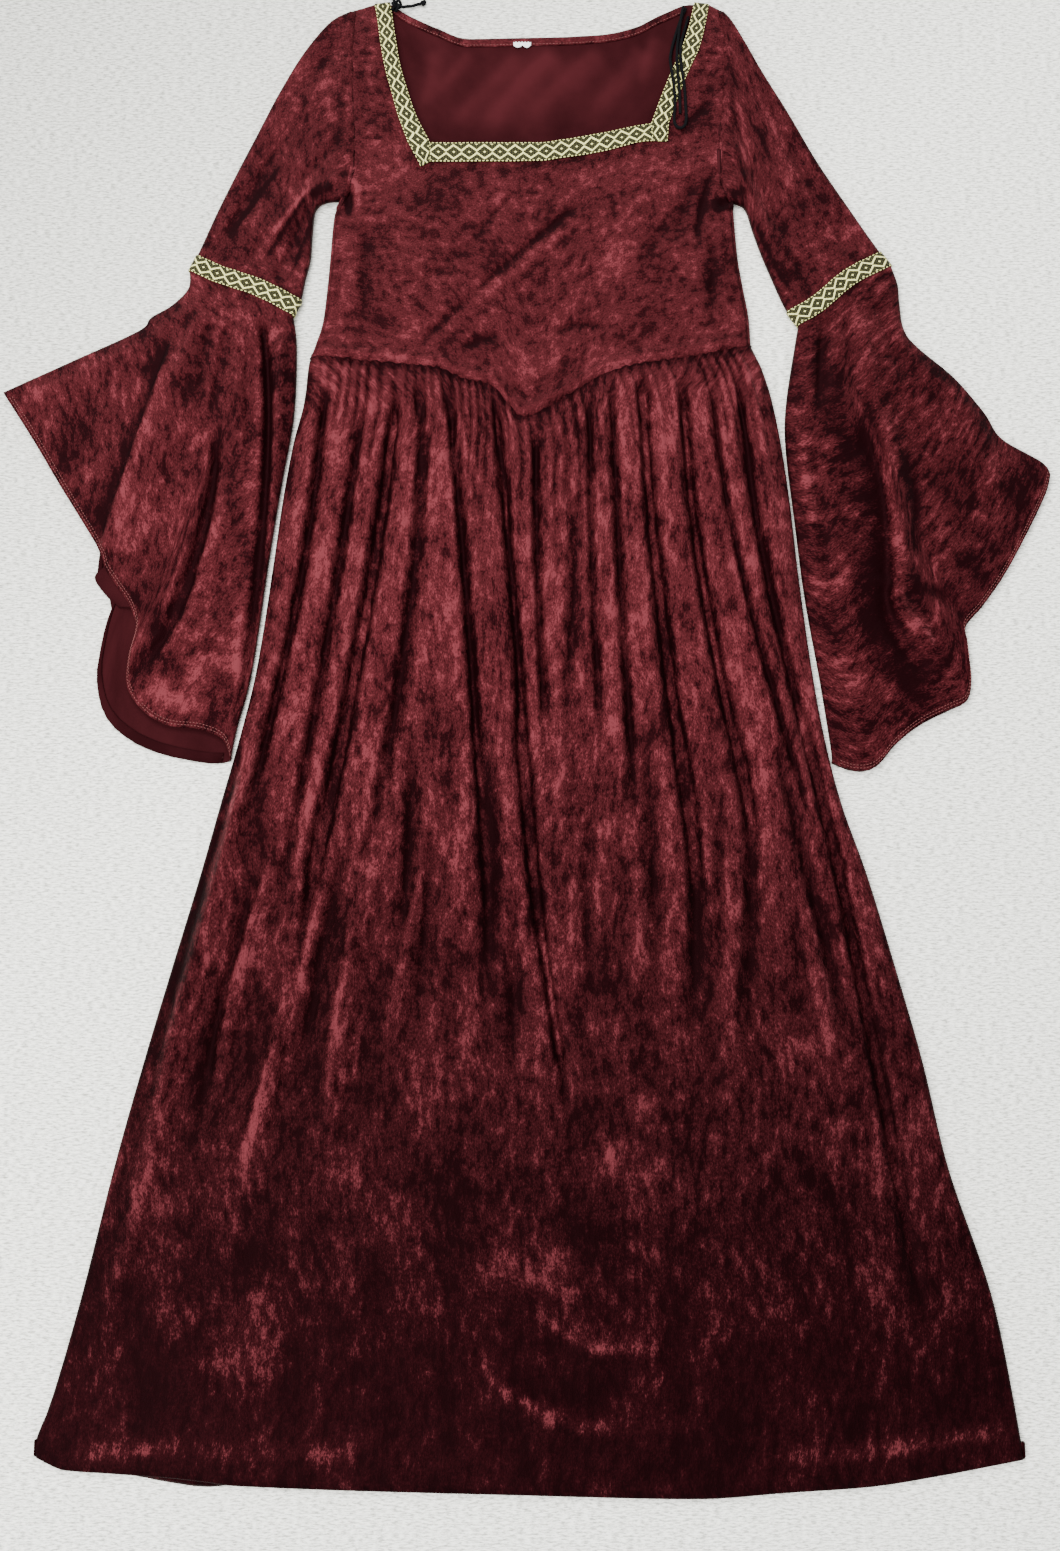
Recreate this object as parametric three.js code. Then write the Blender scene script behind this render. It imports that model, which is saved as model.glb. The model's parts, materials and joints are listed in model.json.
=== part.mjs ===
import * as THREE from 'three';

// A long gown of crushed stretch velvet, laid flat, face up. Millimetres: x across, y up from the
// hem, z up from the surface. Each panel is a thin wall; the last lines centre the gown on its base.

// Driving dimensions
const WALL = 1.8;
const HEM_WALL = 2.5;
const GAP = 0.35;
const LOW = 2 * WALL + GAP + 0.2;
const BRAID = 1.2;
const BRAID_WIDTH = 18;
const CUFF_LIFT = BRAID + GAP;
const GATHERS = 36;
const CORD = 3;
const ARMHOLE_GAP = 1.1;
const UNDERARM = 1222;
const FAR_ABOVE = 300;

const VELVET = { color: 0x5f1a22, roughness: 0.62, metalness: 0 };
const GILT = { color: 0xa39c5e, roughness: 0.45, metalness: 0.25 };
const BLACK = { color: 0x0b0b0c, roughness: 0.8, metalness: 0 };
const WHITE = { color: 0xe6e4de, roughness: 0.85, metalness: 0 };

const mix = (a, b, k) => a + (b - a) * k;
const smooth = (x) => {
  const k = Math.min(Math.max(x, 0), 1);
  return k * k * (3 - 2 * k);
};
const evenly = (count) => Array.from({ length: count - 1 }, (_, i) => (i + 1) / count);

// A smooth curve through a table's rows that never swings past them, read by one column
function through(table, key, value) {
  const rows = [...table].sort((a, b) => a[key] - b[key]);
  const last = rows.length - 1;
  const pitch = (i) => (rows[i + 1][value] - rows[i][value]) / (rows[i + 1][key] - rows[i][key]);
  const slopes = rows.map((row, i) => {
    if (i === 0) return pitch(0);
    if (i === last) return pitch(last - 1);
    const [before, after] = [pitch(i - 1), pitch(i)];
    return before * after <= 0 ? 0 : (2 * before * after) / (before + after);
  });
  return (at) => {
    if (at <= rows[0][key]) return rows[0][value];
    if (at >= rows[last][key]) return rows[last][value];
    let i = 0;
    while (rows[i + 1][key] < at) i += 1;
    const step = rows[i + 1][key] - rows[i][key];
    const k = (at - rows[i][key]) / step;
    const ease = k * k * (3 - 2 * k);
    const tangents = (k * (1 - k) ** 2 * slopes[i] - k * k * (1 - k) * slopes[i + 1]) * step;
    return mix(rows[i][value], rows[i + 1][value], ease) + tangents;
  };
}

// Folds lie along a curve from, via and to, drawn downwards. Each rises (or sinks) by its rise and
// dies away over its left and right widths, and towards the ends it fades over its share of length.
function relief(folds) {
  const lines = folds.map((fold) => {
    const [from, via, to] = [fold.from, fold.via, fold.to].map(([x, y]) => new THREE.Vector2(x, y));
    const pull = via.clone().multiplyScalar(2).sub(from.clone().add(to).multiplyScalar(0.5));
    return { fade: [0.25, 0.3], ...fold, steps: new THREE.QuadraticBezierCurve(from, pull, to).getPoints(10) };
  });
  return (x, y) => {
    let height = 0;
    for (const { rise, left, right, fade, steps } of lines) {
      let nearest = { away: Infinity };
      for (let i = 0; i < steps.length - 1; i += 1) {
        const [a, b] = [steps[i], steps[i + 1]];
        const [dx, dy] = [b.x - a.x, b.y - a.y];
        const k = Math.min(Math.max(((x - a.x) * dx + (y - a.y) * dy) / (dx * dx + dy * dy), 0), 1);
        const away = Math.hypot(x - a.x - dx * k, y - a.y - dy * k);
        if (away < nearest.away) {
          nearest = { away, at: (i + k) / (steps.length - 1), side: dx * (y - a.y) - dy * (x - a.x) };
        }
      }
      const width = nearest.side < 0 ? left : right;
      const ends = smooth(nearest.at / fade[0]) * smooth((1 - nearest.at) / fade[1]);
      height += rise * ends * Math.exp(-((nearest.away / width) ** 2));
    }
    return height;
  };
}

// A line through plan points, read from 0 to 1 by its length
function outline(points) {
  const line = new THREE.SplineCurve(points.map(([x, y]) => new THREE.Vector2(x, y)));
  return (k) => {
    const { x, y } = line.getPointAt(k);
    return [x, y];
  };
}

// The surface that fills four edges: top and hem run left to right, the two sides run down
function patch(top, hem, left, right) {
  const corner = { a: top(0), b: top(1), c: hem(0), d: hem(1) };
  return (s, t) => [0, 1].map((i) => {
    const flat = mix(mix(corner.a[i], corner.b[i], s), mix(corner.c[i], corner.d[i], s), t);
    return mix(top(s)[i], hem(s)[i], t) + mix(left(t)[i], right(t)[i], s) - flat;
  });
}

// Cloth is a wall: an outer surface made of rows, its inner surface one wall further in, and rims
class Cloth {
  constructor() {
    this.outer = [];
    this.inner = [];
    this.faces = [];
  }

  // Each spot has a place, a share s along the row, the row's plan direction and a wall
  row(spots, closed = false) {
    const count = spots.length;
    const marks = spots.map((spot, i) => {
      const before = spots[closed ? (i + count - 1) % count : Math.max(i - 1, 0)];
      const after = spots[closed ? (i + 1) % count : Math.min(i + 1, count - 1)];
      const [hx, hy] = spot.along;
      const run = (after.x - before.x) * hx + (after.y - before.y) * hy;
      const rise = after.z - before.z;
      const length = Math.hypot(run, rise);
      spot.out ??= [-rise / length, run / length];
      const [across, up] = spot.out;
      const wall = spot.wall ?? WALL;
      this.outer.push([spot.x, spot.y, spot.z]);
      this.inner.push([spot.x - across * hx * wall, spot.y - across * hy * wall, spot.z - up * wall]);
      return { index: this.outer.length - 1, s: spot.s };
    });
    if (closed) marks.push({ index: marks[0].index, s: 1 });
    return marks;
  }

  // Fills the strip between two rows, whose numbers of spots may differ
  join(upper, lower) {
    let [a, b] = [0, 0];
    while (a < upper.length - 1 || b < lower.length - 1) {
      const nextUpper = a < upper.length - 1 ? upper[a + 1].s : Infinity;
      const nextLower = b < lower.length - 1 ? lower[b + 1].s : Infinity;
      if (nextUpper < nextLower) {
        this.faces.push([upper[a].index, lower[b].index, upper[a + 1].index]);
        a += 1;
      } else {
        this.faces.push([upper[a].index, lower[b].index, lower[b + 1].index]);
        b += 1;
      }
    }
  }

  rows(list, closed = false) {
    const marks = list.map((spots) => this.row(spots, closed));
    marks.slice(1).forEach((lower, i) => this.join(marks[i], lower));
    return marks;
  }

  geometry() {
    const count = this.outer.length;
    const index = [];
    const edges = new Map();
    for (const [a, b, c] of this.faces) {
      index.push(a, b, c, a + count, c + count, b + count);
      for (const [from, to] of [[a, b], [b, c], [c, a]]) {
        if (!edges.delete(`${to} ${from}`)) edges.set(`${from} ${to}`, [from, to]);
      }
    }
    for (const [from, to] of edges.values()) {
      index.push(to, from, from + count, to, from + count, to + count);
    }
    const geometry = new THREE.BufferGeometry();
    const places = [...this.outer, ...this.inner].flat();
    geometry.setAttribute('position', new THREE.Float32BufferAttribute(places, 3));
    geometry.setIndex(index);
    geometry.computeVertexNormals();
    return geometry;
  }
}

const direction = (plan, s) => {
  const [a, b] = [plan(Math.max(s - 0.004, 0)), plan(Math.min(s + 0.004, 1))];
  const length = Math.hypot(b[0] - a[0], b[1] - a[1]);
  return [(b[0] - a[0]) / length, (b[1] - a[1]) / length];
};

const rowLength = (plan) => {
  const steps = Array.from({ length: 21 }, (_, i) => plan(i / 20));
  return steps.slice(1).reduce((sum, p, i) => sum + Math.hypot(p[0] - steps[i][0], p[1] - steps[i][1]), 0);
};

// One face of a flattened section, from left to right: a quarter turn at the fold, the run across,
// and a quarter turn down. The upper face follows its top, and the lower one is flat on its base.
const EDGE_BLEND = 20;
function face(section, upper) {
  const { plan, across, edge, base = 0, top, round = [1, 1], exact = false, split = 0, wall } = section;
  const length = rowLength(plan);
  const radius = edge / 2;
  const inset = radius / length;
  const level = (s) => {
    if (!upper) return base;
    const [x, y] = plan(s);
    const shoulder = smooth(Math.min((s * length) / EDGE_BLEND + (1 - round[0]),
      ((1 - s) * length) / EDGE_BLEND + (1 - round[1])));
    return mix(base + edge, Math.max(top(x, y, s), base + LOW), shoulder);
  };
  const spot = (s, z, share, out) => {
    const [x, y] = plan(s);
    const thick = typeof wall === 'function' ? wall(x, y) : wall;
    return { x, y, z, s: share, along: direction(plan, s), out, wall: thick };
  };
  const turn = (end) => [0, Math.PI / 4, Math.PI / 2].map((angle, i) => {
    const s = inset * (1 - Math.cos(angle));
    const at = end === 0 ? s : 1 - s;
    const sign = upper ? 1 : -1;
    const rolled = base + radius + sign * (radius * Math.sin(angle) + (i === 0 ? split / 2 : 0));
    const z = mix(level(at), rolled, round[end]);
    const share = end === 0 ? (i - 2) * 0.001 : 1 + (2 - i) * 0.001;
    const flat = round[end] > 0.5 ? [end === 0 ? -1 : 1, 0] : [0, upper ? 1 : -1];
    return spot(at, z, share, i === 0 ? flat : undefined);
  });
  const middle = across.map((k) => {
    const s = exact ? k : inset + (1 - 2 * inset) * k;
    return spot(s, level(s), k);
  });
  return [...turn(0), ...middle, ...turn(1).reverse()];
}

// A whole flattened tube section: the upper face and the lower one, joined at both folds
function ring(section) {
  const over = face(section, true);
  const under = face({ ...section, ...section.below, across: section.under }, false).reverse();
  over.forEach((spot, i) => { spot.s = (0.5 * i) / (over.length - 1); });
  const back = under.slice(1, -1);
  back.forEach((spot, i) => { spot.s = 0.5 + (0.5 * (i + 1)) / (back.length + 1); });
  over[0].out = [-1, 0];
  over[over.length - 1].out = [1, 0];
  return [...over, ...back];
}

// The lower face on its own, from right to left, so that its outside faces down
function lowerFace(section) {
  const spots = face(section, false).reverse();
  spots.forEach((spot) => { spot.s = 1 - spot.s; });
  return spots;
}

const gown = new THREE.Group();
const cords = new Set();
function add(name, geometry, finish) {
  const mesh = new THREE.Mesh(geometry, new THREE.MeshStandardMaterial(finish));
  mesh.name = name;
  gown.add(mesh);
  return mesh;
}

// The gown's outline: the sides of bodice and skirt, the armholes, and the pointed waist seam
const SIDES = [
  { y: 28, left: -436, right: 437 },
  { y: 37, left: -439, right: 436 },
  { y: 75, left: -427, right: 431 },
  { y: 160, left: -405, right: 417 },
  { y: 288, left: -377, right: 379 },
  { y: 377, left: -355, right: 361 },
  { y: 460, left: -333, right: 340 },
  { y: 549, left: -309, right: 316 },
  { y: 621, left: -291, right: 293 },
  { y: 680, left: -276, right: 280 },
  { y: 746, left: -262, right: 270 },
  { y: 847, left: -249, right: 259 },
  { y: 916, left: -241, right: 253 },
  { y: 975, left: -232, right: 246 },
  { y: 1021, left: -222, right: 238 },
  { y: 1056, left: -219, right: 228 },
  { y: 1076, left: -213, right: 219 },
  { y: 1101, left: -206, right: 218 },
  { y: 1141, left: -202, right: 212 },
  { y: 1170, left: -200, right: 208 },
  { y: 1214, left: -197, right: 205 },
  { y: 1230, left: -191, right: 204 },
  { y: 1240, left: -186, right: 199 },
  { y: 1255, left: -183, right: 195 },
  { y: 1279, left: -181, right: 194 },
  { y: 1335, left: -182, right: 199 },
  { y: 1391, left: -185, right: 202 },
  { y: 1442, left: -184, right: 198 },
];
const leftSide = through(SIDES, 'y', 'left');
const rightSide = through(SIDES, 'y', 'right');

const WAIST = [
  { x: -219, front: 1063, back: 1063 },
  { x: -211, front: 1065, back: 1062 },
  { x: -168, front: 1060, back: 1058 },
  { x: -91, front: 1052, back: 1054 },
  { x: -70, front: 1042, back: 1053 },
  { x: -40, front: 1034, back: 1052 },
  { x: -7, front: 1001, back: 1052 },
  { x: 15, front: 1010, back: 1053 },
  { x: 45, front: 1029, back: 1055 },
  { x: 75, front: 1047, back: 1057 },
  { x: 106, front: 1056, back: 1060 },
  { x: 152, front: 1063, back: 1065 },
  { x: 219, front: 1076, back: 1076 },
];
const waistFront = through(WAIST, 'x', 'front');
const waistBack = through(WAIST, 'x', 'back');
const WAIST_LEFT = { x: -219, y: 1063 };
const WAIST_RIGHT = { x: 219, y: 1076 };

const HEM = [
  { x: -436, front: 32, back: 32 },
  { x: -409, front: 21, back: 21 },
  { x: -365, front: 18, back: 18 },
  { x: -311, front: 14, back: 9 },
  { x: -284, front: 11, back: 6 },
  { x: -259, front: 8, back: 8 },
  { x: 0, front: 0, back: 0 },
  { x: 149, front: -3, back: -3 },
  { x: 224, front: 2, back: 2 },
  { x: 299, front: 7, back: 7 },
  { x: 360, front: 16, back: 16 },
  { x: 437, front: 30, back: 30 },
];
const hemFront = through(HEM, 'x', 'front');
const hemBack = through(HEM, 'x', 'back');
const HEM_LEFT = { x: -436, y: 32 };
const HEM_RIGHT = { x: 437, y: 30 };

// Where the seven main columns stand: x at the waist, at the braid's lower edge and at the neck edge
const COLUMNS = [
  { waist: -219, lower: -181.5, upper: -181, spans: 7 },
  { waist: -128, lower: -110, upper: -124, spans: 1 },
  { waist: -116, lower: -100, upper: -101, spans: 8 },
  { waist: -7, lower: 10, upper: 10, spans: 8 },
  { waist: 133, lower: 125, upper: 123, spans: 1 },
  { waist: 150, lower: 140, upper: 141, spans: 7 },
  { waist: 219, lower: 196, upper: 197.5, spans: 0 },
];
const columnShares = (level) => {
  const [first, last] = [COLUMNS[0][level], COLUMNS[COLUMNS.length - 1][level]];
  const shares = [];
  COLUMNS.slice(0, -1).forEach((column, i) => {
    for (let k = 0; k < column.spans; k += 1) {
      shares.push((mix(column[level], COLUMNS[i + 1][level], k / column.spans) - first) / (last - first));
    }
  });
  return shares.slice(1);
};
const SHARES = { waist: columnShares('waist'), lower: columnShares('lower'), upper: columnShares('upper') };

// The front waist seam, as straight runs between the bodice's columns, by the share across
const SEAM_KNOTS = [0, ...SHARES.waist, 1];
const waistSeam = (s) => {
  const next = Math.max(1, SEAM_KNOTS.findIndex((share) => share >= s));
  const ends = [SEAM_KNOTS[next - 1], SEAM_KNOTS[next]];
  const [a, b] = ends.map((share) => waistFront(mix(WAIST_LEFT.x, WAIST_RIGHT.x, share)));
  return mix(a, b, (s - ends[0]) / (ends[1] - ends[0]));
};
const backSeam = (s) => waistBack(mix(WAIST_LEFT.x, WAIST_RIGHT.x, s));

// Skirt: two flared panels. The front is gathered into the waist seam: small gathers at the seam run
// together lower down into a dozen long folds, which die out above the hem.
const skirtPlan = (seam, hem, below) => (t) => (s) => {
  const [yLeft, yRight] = [mix(WAIST_LEFT.y, HEM_LEFT.y, t), mix(WAIST_RIGHT.y, HEM_RIGHT.y, t)];
  const end = hem(mix(HEM_LEFT.x, HEM_RIGHT.x, s));
  return [mix(leftSide(yLeft), rightSide(yRight), s), mix(seam(s) - below, end, t)];
};
const skirtFrontPlan = skirtPlan(waistSeam, hemFront, 2 * GAP);
const skirtBackPlan = skirtPlan(backSeam, hemBack, GAP);

const SKIRT_DOWN = [
  { t: 0, edge: 8, level: 8.4, gather: 1.9 },
  { t: 0.02, edge: 8, level: 12, gather: 3.1 },
  { t: 0.06, edge: 8.5, level: 14, gather: 2.9 },
  { t: 0.12, edge: 9, level: 14.5, gather: 1.5 },
  { t: 0.2, edge: 9, level: 14, gather: 0.4 },
  { t: 0.3, edge: 9, level: 13.5, gather: 0 },
  { t: 0.5, edge: 8.5, level: 12, gather: 0 },
  { t: 0.75, edge: 8, level: 9.5, gather: 0 },
  { t: 0.92, edge: 7, level: 7.4, gather: 0 },
  { t: 1, edge: 6, level: 5.8, gather: 0 },
];
const skirtEdge = through(SKIRT_DOWN, 't', 'edge');
const skirtLevel = through(SKIRT_DOWN, 't', 'level');
const skirtGather = through(SKIRT_DOWN, 't', 'gather');

const SKIRT_FOLDS = [
  { from: [-202, 1053], via: [-224, 858], to: [-247, 700], rise: -8, left: 8, right: 10, fade: [0.1, 0.3] },
  { from: [-174, 1040], via: [-198, 774], to: [-244, 520], rise: -8, left: 10, right: 12, fade: [0.2, 0.3] },
  { from: [-129, 1035], via: [-163, 797], to: [-194, 560], rise: -9, left: 12, right: 8, fade: [0.1, 0.3] },
  { from: [-99, 930], via: [-125, 760], to: [-170, 530], rise: -8, left: 14, right: 12 },
  { from: [-80, 1041], via: [-56, 797], to: [-38, 480], rise: -9, left: 9, right: 13, fade: [0.1, 0.3] },
  { from: [-31, 1021], via: [-13, 797], to: [6, 620], rise: -8, left: 9, right: 9, fade: [0.1, 0.4] },
  { from: [6, 987], via: [4, 901], to: [3, 817], rise: -7, left: 9, right: 8, fade: [0.1, 0.4] },
  { from: [59, 1000], via: [39, 777], to: [25, 560], rise: -7, left: 12, right: 12 },
  { from: [82, 1045], via: [84, 862], to: [78, 700], rise: -7, left: 9, right: 9, fade: [0.1, 0.4] },
  { from: [112, 1045], via: [130, 816], to: [155, 500], rise: -10, left: 9, right: 13, fade: [0.1, 0.3] },
  { from: [148, 1050], via: [169, 817], to: [212, 570], rise: -9, left: 10, right: 12, fade: [0.1, 0.35] },
  { from: [205, 1055], via: [230, 853], to: [266, 680], rise: -7, left: 11, right: 9, fade: [0.1, 0.35] },
  { from: [-249, 620], via: [-285, 423], to: [-306, 290], rise: 4, left: 11, right: 15 },
  { from: [-212, 620], via: [-236, 423], to: [-281, 240], rise: 5, left: 12, right: 16 },
  { from: [-128, 620], via: [-168, 442], to: [-189, 270], rise: 5, left: 13, right: 17 },
  { from: [-105, 540], via: [-124, 443], to: [-139, 370], rise: 3, left: 12, right: 12 },
  { from: [-63, 640], via: [-68, 550], to: [-80, 480], rise: 3, left: 12, right: 14 },
  { from: [8, 560], via: [32, 423], to: [42, 310], rise: 5, left: 12, right: 14 },
  { from: [106, 570], via: [101, 488], to: [95, 400], rise: 3, left: 14, right: 14 },
  { from: [188, 590], via: [180, 443], to: [181, 310], rise: 4, left: 15, right: 14 },
  { from: [252, 520], via: [265, 460], to: [278, 380], rise: 3, left: 12, right: 12 },
  { from: [-262, 700], via: [-313, 440], to: [-392, 100], rise: 3, left: 8, right: 14, fade: [0.15, 0.25] },
  { from: [276, 640], via: [320, 410], to: [354, 190], rise: -5, left: 9, right: 8, fade: [0.2, 0.3] },
  { from: [31, 137], via: [76, 125], to: [127, 126], rise: 3, left: 12, right: 18, fade: [0.3, 0.3] },
  { from: [-42, 112], via: [9, 66], to: [98, 61], rise: 2.5, left: 10, right: 16, fade: [0.3, 0.3] },
  { from: [-330, 120], via: [-290, 80], to: [-240, 40], rise: 1.5, left: 22, right: 22 },
];
const skirtRelief = relief(SKIRT_FOLDS);

// The gathers are not even: their phase drifts along the seam
const gatherPhase = (s) => GATHERS * s + 0.42 * Math.sin(19 * s) + 0.2 * Math.sin(47 * s + 1);
const gatherColumns = () => evenly(4 * GATHERS).map((share) => {
  const goal = mix(gatherPhase(0), gatherPhase(1), share);
  let [low, high] = [0, 1];
  for (let i = 0; i < 30; i += 1) {
    const middle = (low + high) / 2;
    if (gatherPhase(middle) < goal) low = middle;
    else high = middle;
  }
  return (low + high) / 2;
});

const skirtTop = (t) => (x, y, s) => {
  const gather = skirtGather(t) * Math.cos(2 * Math.PI * (gatherPhase(s) - gatherPhase(0)));
  return skirtLevel(t) + gather + skirtRelief(x, y);
};
const SKIRT_ROWS = [
  { columns: gatherColumns(), down: [0, 0.02, 0.065] },
  { columns: evenly(72), down: [0.125, 0.2, 0.29, 0.39] },
  { columns: evenly(48), down: [0.49, 0.59, 0.69, 0.79, 0.88, 0.95, 0.985, 1] },
];
const hemWall = (t) => (t > 0.98 ? HEM_WALL : WALL);
const skirtFront = new Cloth();
skirtFront.rows(SKIRT_ROWS.flatMap(({ columns, down }) => down.map((t) => face({
  plan: skirtFrontPlan(t),
  across: columns,
  edge: skirtEdge(t),
  top: skirtTop(t),
  split: GAP,
  wall: hemWall(t),
}, true))));
add('skirt_front', skirtFront.geometry(), VELVET);

const skirtBack = new Cloth();
const SKIRT_BACK_DOWN = [0, 0.1, 0.25, 0.4, 0.55, 0.7, 0.85, 0.985, 1];
skirtBack.rows(SKIRT_BACK_DOWN.map((t) => lowerFace({
  plan: skirtBackPlan(t),
  across: evenly(18),
  edge: skirtEdge(t),
  split: GAP,
  wall: hemWall(t),
})));
add('skirt_back', skirtBack.geometry(), VELVET);

// Front bodice: a square neckline between two shoulder straps. Its columns run along the braid's
// edges, so that the braid can be made from the same points.
const NECK = [
  { x: -184, lower: 1262, upper: 1298 },
  { x: -124, lower: 1267, upper: 1296 },
  { x: -110, lower: 1268, upper: 1295 },
  { x: -100, lower: 1273, upper: 1294 },
  { x: 10, lower: 1274, upper: 1294 },
  { x: 31, lower: 1277, upper: 1297 },
  { x: 71, lower: 1284, upper: 1304 },
  { x: 124, lower: 1296, upper: 1315 },
  { x: 141, lower: 1295, upper: 1316 },
  { x: 200, lower: 1297, upper: 1318 },
];
const neckLower = through(NECK, 'x', 'lower');
const neckUpper = through(NECK, 'x', 'upper');

const BODICE_UP = [
  { y: 990, level: 9.5 },
  { y: 1060, level: 9.8 },
  { y: 1150, level: 10.5 },
  { y: 1220, level: 9.5 },
  { y: 1262, level: 7.6 },
  { y: 1290, level: 6.6 },
  { y: 1400, level: 6.6 },
  { y: 1430, level: 6 },
  { y: 1446, level: 4.7 },
];
const bodiceLevel = through(BODICE_UP, 'y', 'level');
const bodiceRelief = relief([
  { from: [5, 1255], via: [-32, 1222], to: [-67, 1181], rise: -2.5, left: 6, right: 7 },
  { from: [75, 1247], via: [10, 1196], to: [-66, 1132], rise: -3.5, left: 7, right: 8 },
  { from: [54, 1233], via: [-30, 1162], to: [-114, 1082], rise: 2.5, left: 7, right: 9 },
  { from: [30, 1190], via: [-10, 1160], to: [-60, 1110], rise: -2, left: 8, right: 8 },
  { from: [191, 1275], via: [170, 1215], to: [135, 1100], rise: -4, left: 9, right: 7 },
  { from: [180, 1230], via: [182, 1180], to: [176, 1110], rise: -3, left: 6, right: 8 },
  { from: [-178, 1262], via: [-171, 1236], to: [-179, 1212], rise: -3, left: 6, right: 8 },
  { from: [-163, 1215], via: [-166, 1150], to: [-162, 1095], rise: -2.5, left: 8, right: 9 },
  { from: [29, 1098], via: [60, 1095], to: [95, 1104], rise: -2, left: 7, right: 7 },
  { from: [-20, 1075], via: [-7, 1058], to: [-8, 1020], rise: 2, left: 12, right: 12 },
]);
const seamRoll = (above) => 2.2 * Math.exp(-(((above - 6) / 5) ** 2)) - 1.6 * Math.exp(-((above / 3) ** 2));
const bodiceTop = (above) => (x, y) => {
  const outward = 1.6 * smooth((Math.abs(x) - 130) / 45) * smooth((y - 1225) / 50) * smooth((1440 - y) / 30);
  return bodiceLevel(y) + outward + seamRoll(above) + bodiceRelief(x, y);
};

const bodiceSpots = (t) => {
  const blend = SHARES.waist.map((share, i) => mix(share, SHARES.lower[i], t));
  const ends = [mix(WAIST_LEFT.y, neckLower(-182), t), mix(WAIST_RIGHT.y, neckLower(196), t)];
  const plan = (s) => {
    const spread = mix(WAIST_LEFT.x, WAIST_RIGHT.x, s);
    const x = mix(leftSide(ends[0]), rightSide(ends[1]), s);
    return [x, mix(waistFront(spread), neckLower(x), t)];
  };
  const above = t * 190;
  return face({
    plan,
    across: blend,
    exact: true,
    edge: 8,
    top: bodiceTop(above),
    round: ends.map((y) => (y < UNDERARM ? 1 : 0)),
    split: GAP,
  }, true);
};
const BODICE_BODY = [0, 0.016, 0.035, 0.07, 0.16, 0.28, 0.4, 0.52, 0.65, 0.75, 0.84, 0.92, 1];
const neckRow = face({
  plan: (s) => {
    const x = mix(leftSide(1298), rightSide(1318), s);
    return [x, neckUpper(x)];
  },
  across: SHARES.upper,
  exact: true,
  edge: 8,
  top: bodiceTop(200),
  round: [0, 0],
}, true);
const bodiceRows = [neckRow, ...BODICE_BODY.map(bodiceSpots).reverse()];

// Shoulder straps: rows from the neck edge up to the shoulder seam
const LEFT_STRAP = [
  { arm: [-181.6, 1322], outer: [-134, 1324], inner: [-116, 1325] },
  { arm: [-183, 1350], outer: [-141, 1350], inner: [-124.5, 1351] },
  { arm: [-184.6, 1380], outer: [-149, 1381], inner: [-133, 1382] },
  { arm: [-184.9, 1408], outer: [-154, 1411], inner: [-138, 1412] },
  { arm: [-184.5, 1428], outer: [-157, 1434], inner: [-141.5, 1436] },
  { arm: [-184, 1442], outer: [-160, 1450], inner: [-144, 1452] },
];
const RIGHT_STRAP = [
  { arm: [199.7, 1343], outer: [149, 1339], inner: [131, 1338] },
  { arm: [201.3, 1370], outer: [161, 1371], inner: [143.5, 1371] },
  { arm: [202, 1398], outer: [173.5, 1400], inner: [156, 1401] },
  { arm: [200.6, 1421], outer: [180, 1427], inner: [164, 1428] },
  { arm: [198, 1442], outer: [184, 1450], inner: [169, 1452] },
];
function strapSpots({ arm, outer, inner }, shares) {
  const last = shares.length - 1;
  return shares.map((share, i) => {
    const [x, y] = i === last ? inner : [0, 1].map((axis) => mix(arm[axis], outer[axis], i / (last - 1)));
    return { x, y, z: bodiceTop(FAR_ABOVE)(x, y), s: share, along: [1, 0], out: [0, 1] };
  });
}
// In the neck row, the spots at the braid's outer and inner edges
const LEFT_OUTER = 9;
const LEFT_INNER = 10;
const RIGHT_INNER = 26;
const RIGHT_OUTER = 27;
const shareAt = (spots) => spots.map((spot) => spot.s);
const leftShares = shareAt([neckRow[0], ...neckRow.slice(3, LEFT_INNER + 1)]);
const rightShares = shareAt([...neckRow.slice(RIGHT_INNER, -3), neckRow[neckRow.length - 1]]);
const leftStrap = LEFT_STRAP.map((row) => strapSpots(row, leftShares)).reverse();
const rightStrap = RIGHT_STRAP.map((row) => {
  const spots = strapSpots(row, rightShares).reverse();
  spots.forEach((spot, i) => { spot.s = rightShares[i]; });
  return spots;
}).reverse();

const bodiceFront = new Cloth();
const [neckMarks] = bodiceFront.rows(bodiceRows);
bodiceFront.join(bodiceFront.rows(leftStrap).at(-1), neckMarks.slice(0, LEFT_INNER + 1));
bodiceFront.join(bodiceFront.rows(rightStrap).at(-1), neckMarks.slice(RIGHT_INNER));
add('bodice_front', bodiceFront.geometry(), VELVET);

// Back bodice: flat on the surface, its neck edge turned to a narrow band
const BACK_NECK = [
  { x: -184, y: 1442 },
  { x: -160, y: 1450 },
  { x: -144, y: 1452 },
  { x: -131, y: 1443 },
  { x: -96, y: 1425 },
  { x: -64, y: 1413 },
  { x: -11, y: 1414 },
  { x: 31, y: 1415 },
  { x: 76, y: 1418 },
  { x: 106, y: 1425 },
  { x: 137, y: 1441 },
  { x: 166, y: 1452 },
  { x: 184, y: 1450 },
  { x: 198, y: 1442 },
];
const backNeck = through(BACK_NECK, 'x', 'y');
const NECK_BAND = 9;
const BAND_WALL = 2.8;
const backWall = (x, y) => {
  const inBand = smooth((y - backNeck(x) + NECK_BAND + 3) / 3);
  const inNeck = smooth((x + 140) / 25) * smooth((160 - x) / 25);
  return mix(WALL, BAND_WALL, inBand * inNeck);
};
const SHOULDER = 1442;
const bodiceBack = new Cloth();
const BODICE_BACK_DOWN = [1, 0.972, 0.965, 0.85, 0.7, 0.56, 0.46, 0.4, 0.2, 0];
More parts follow.
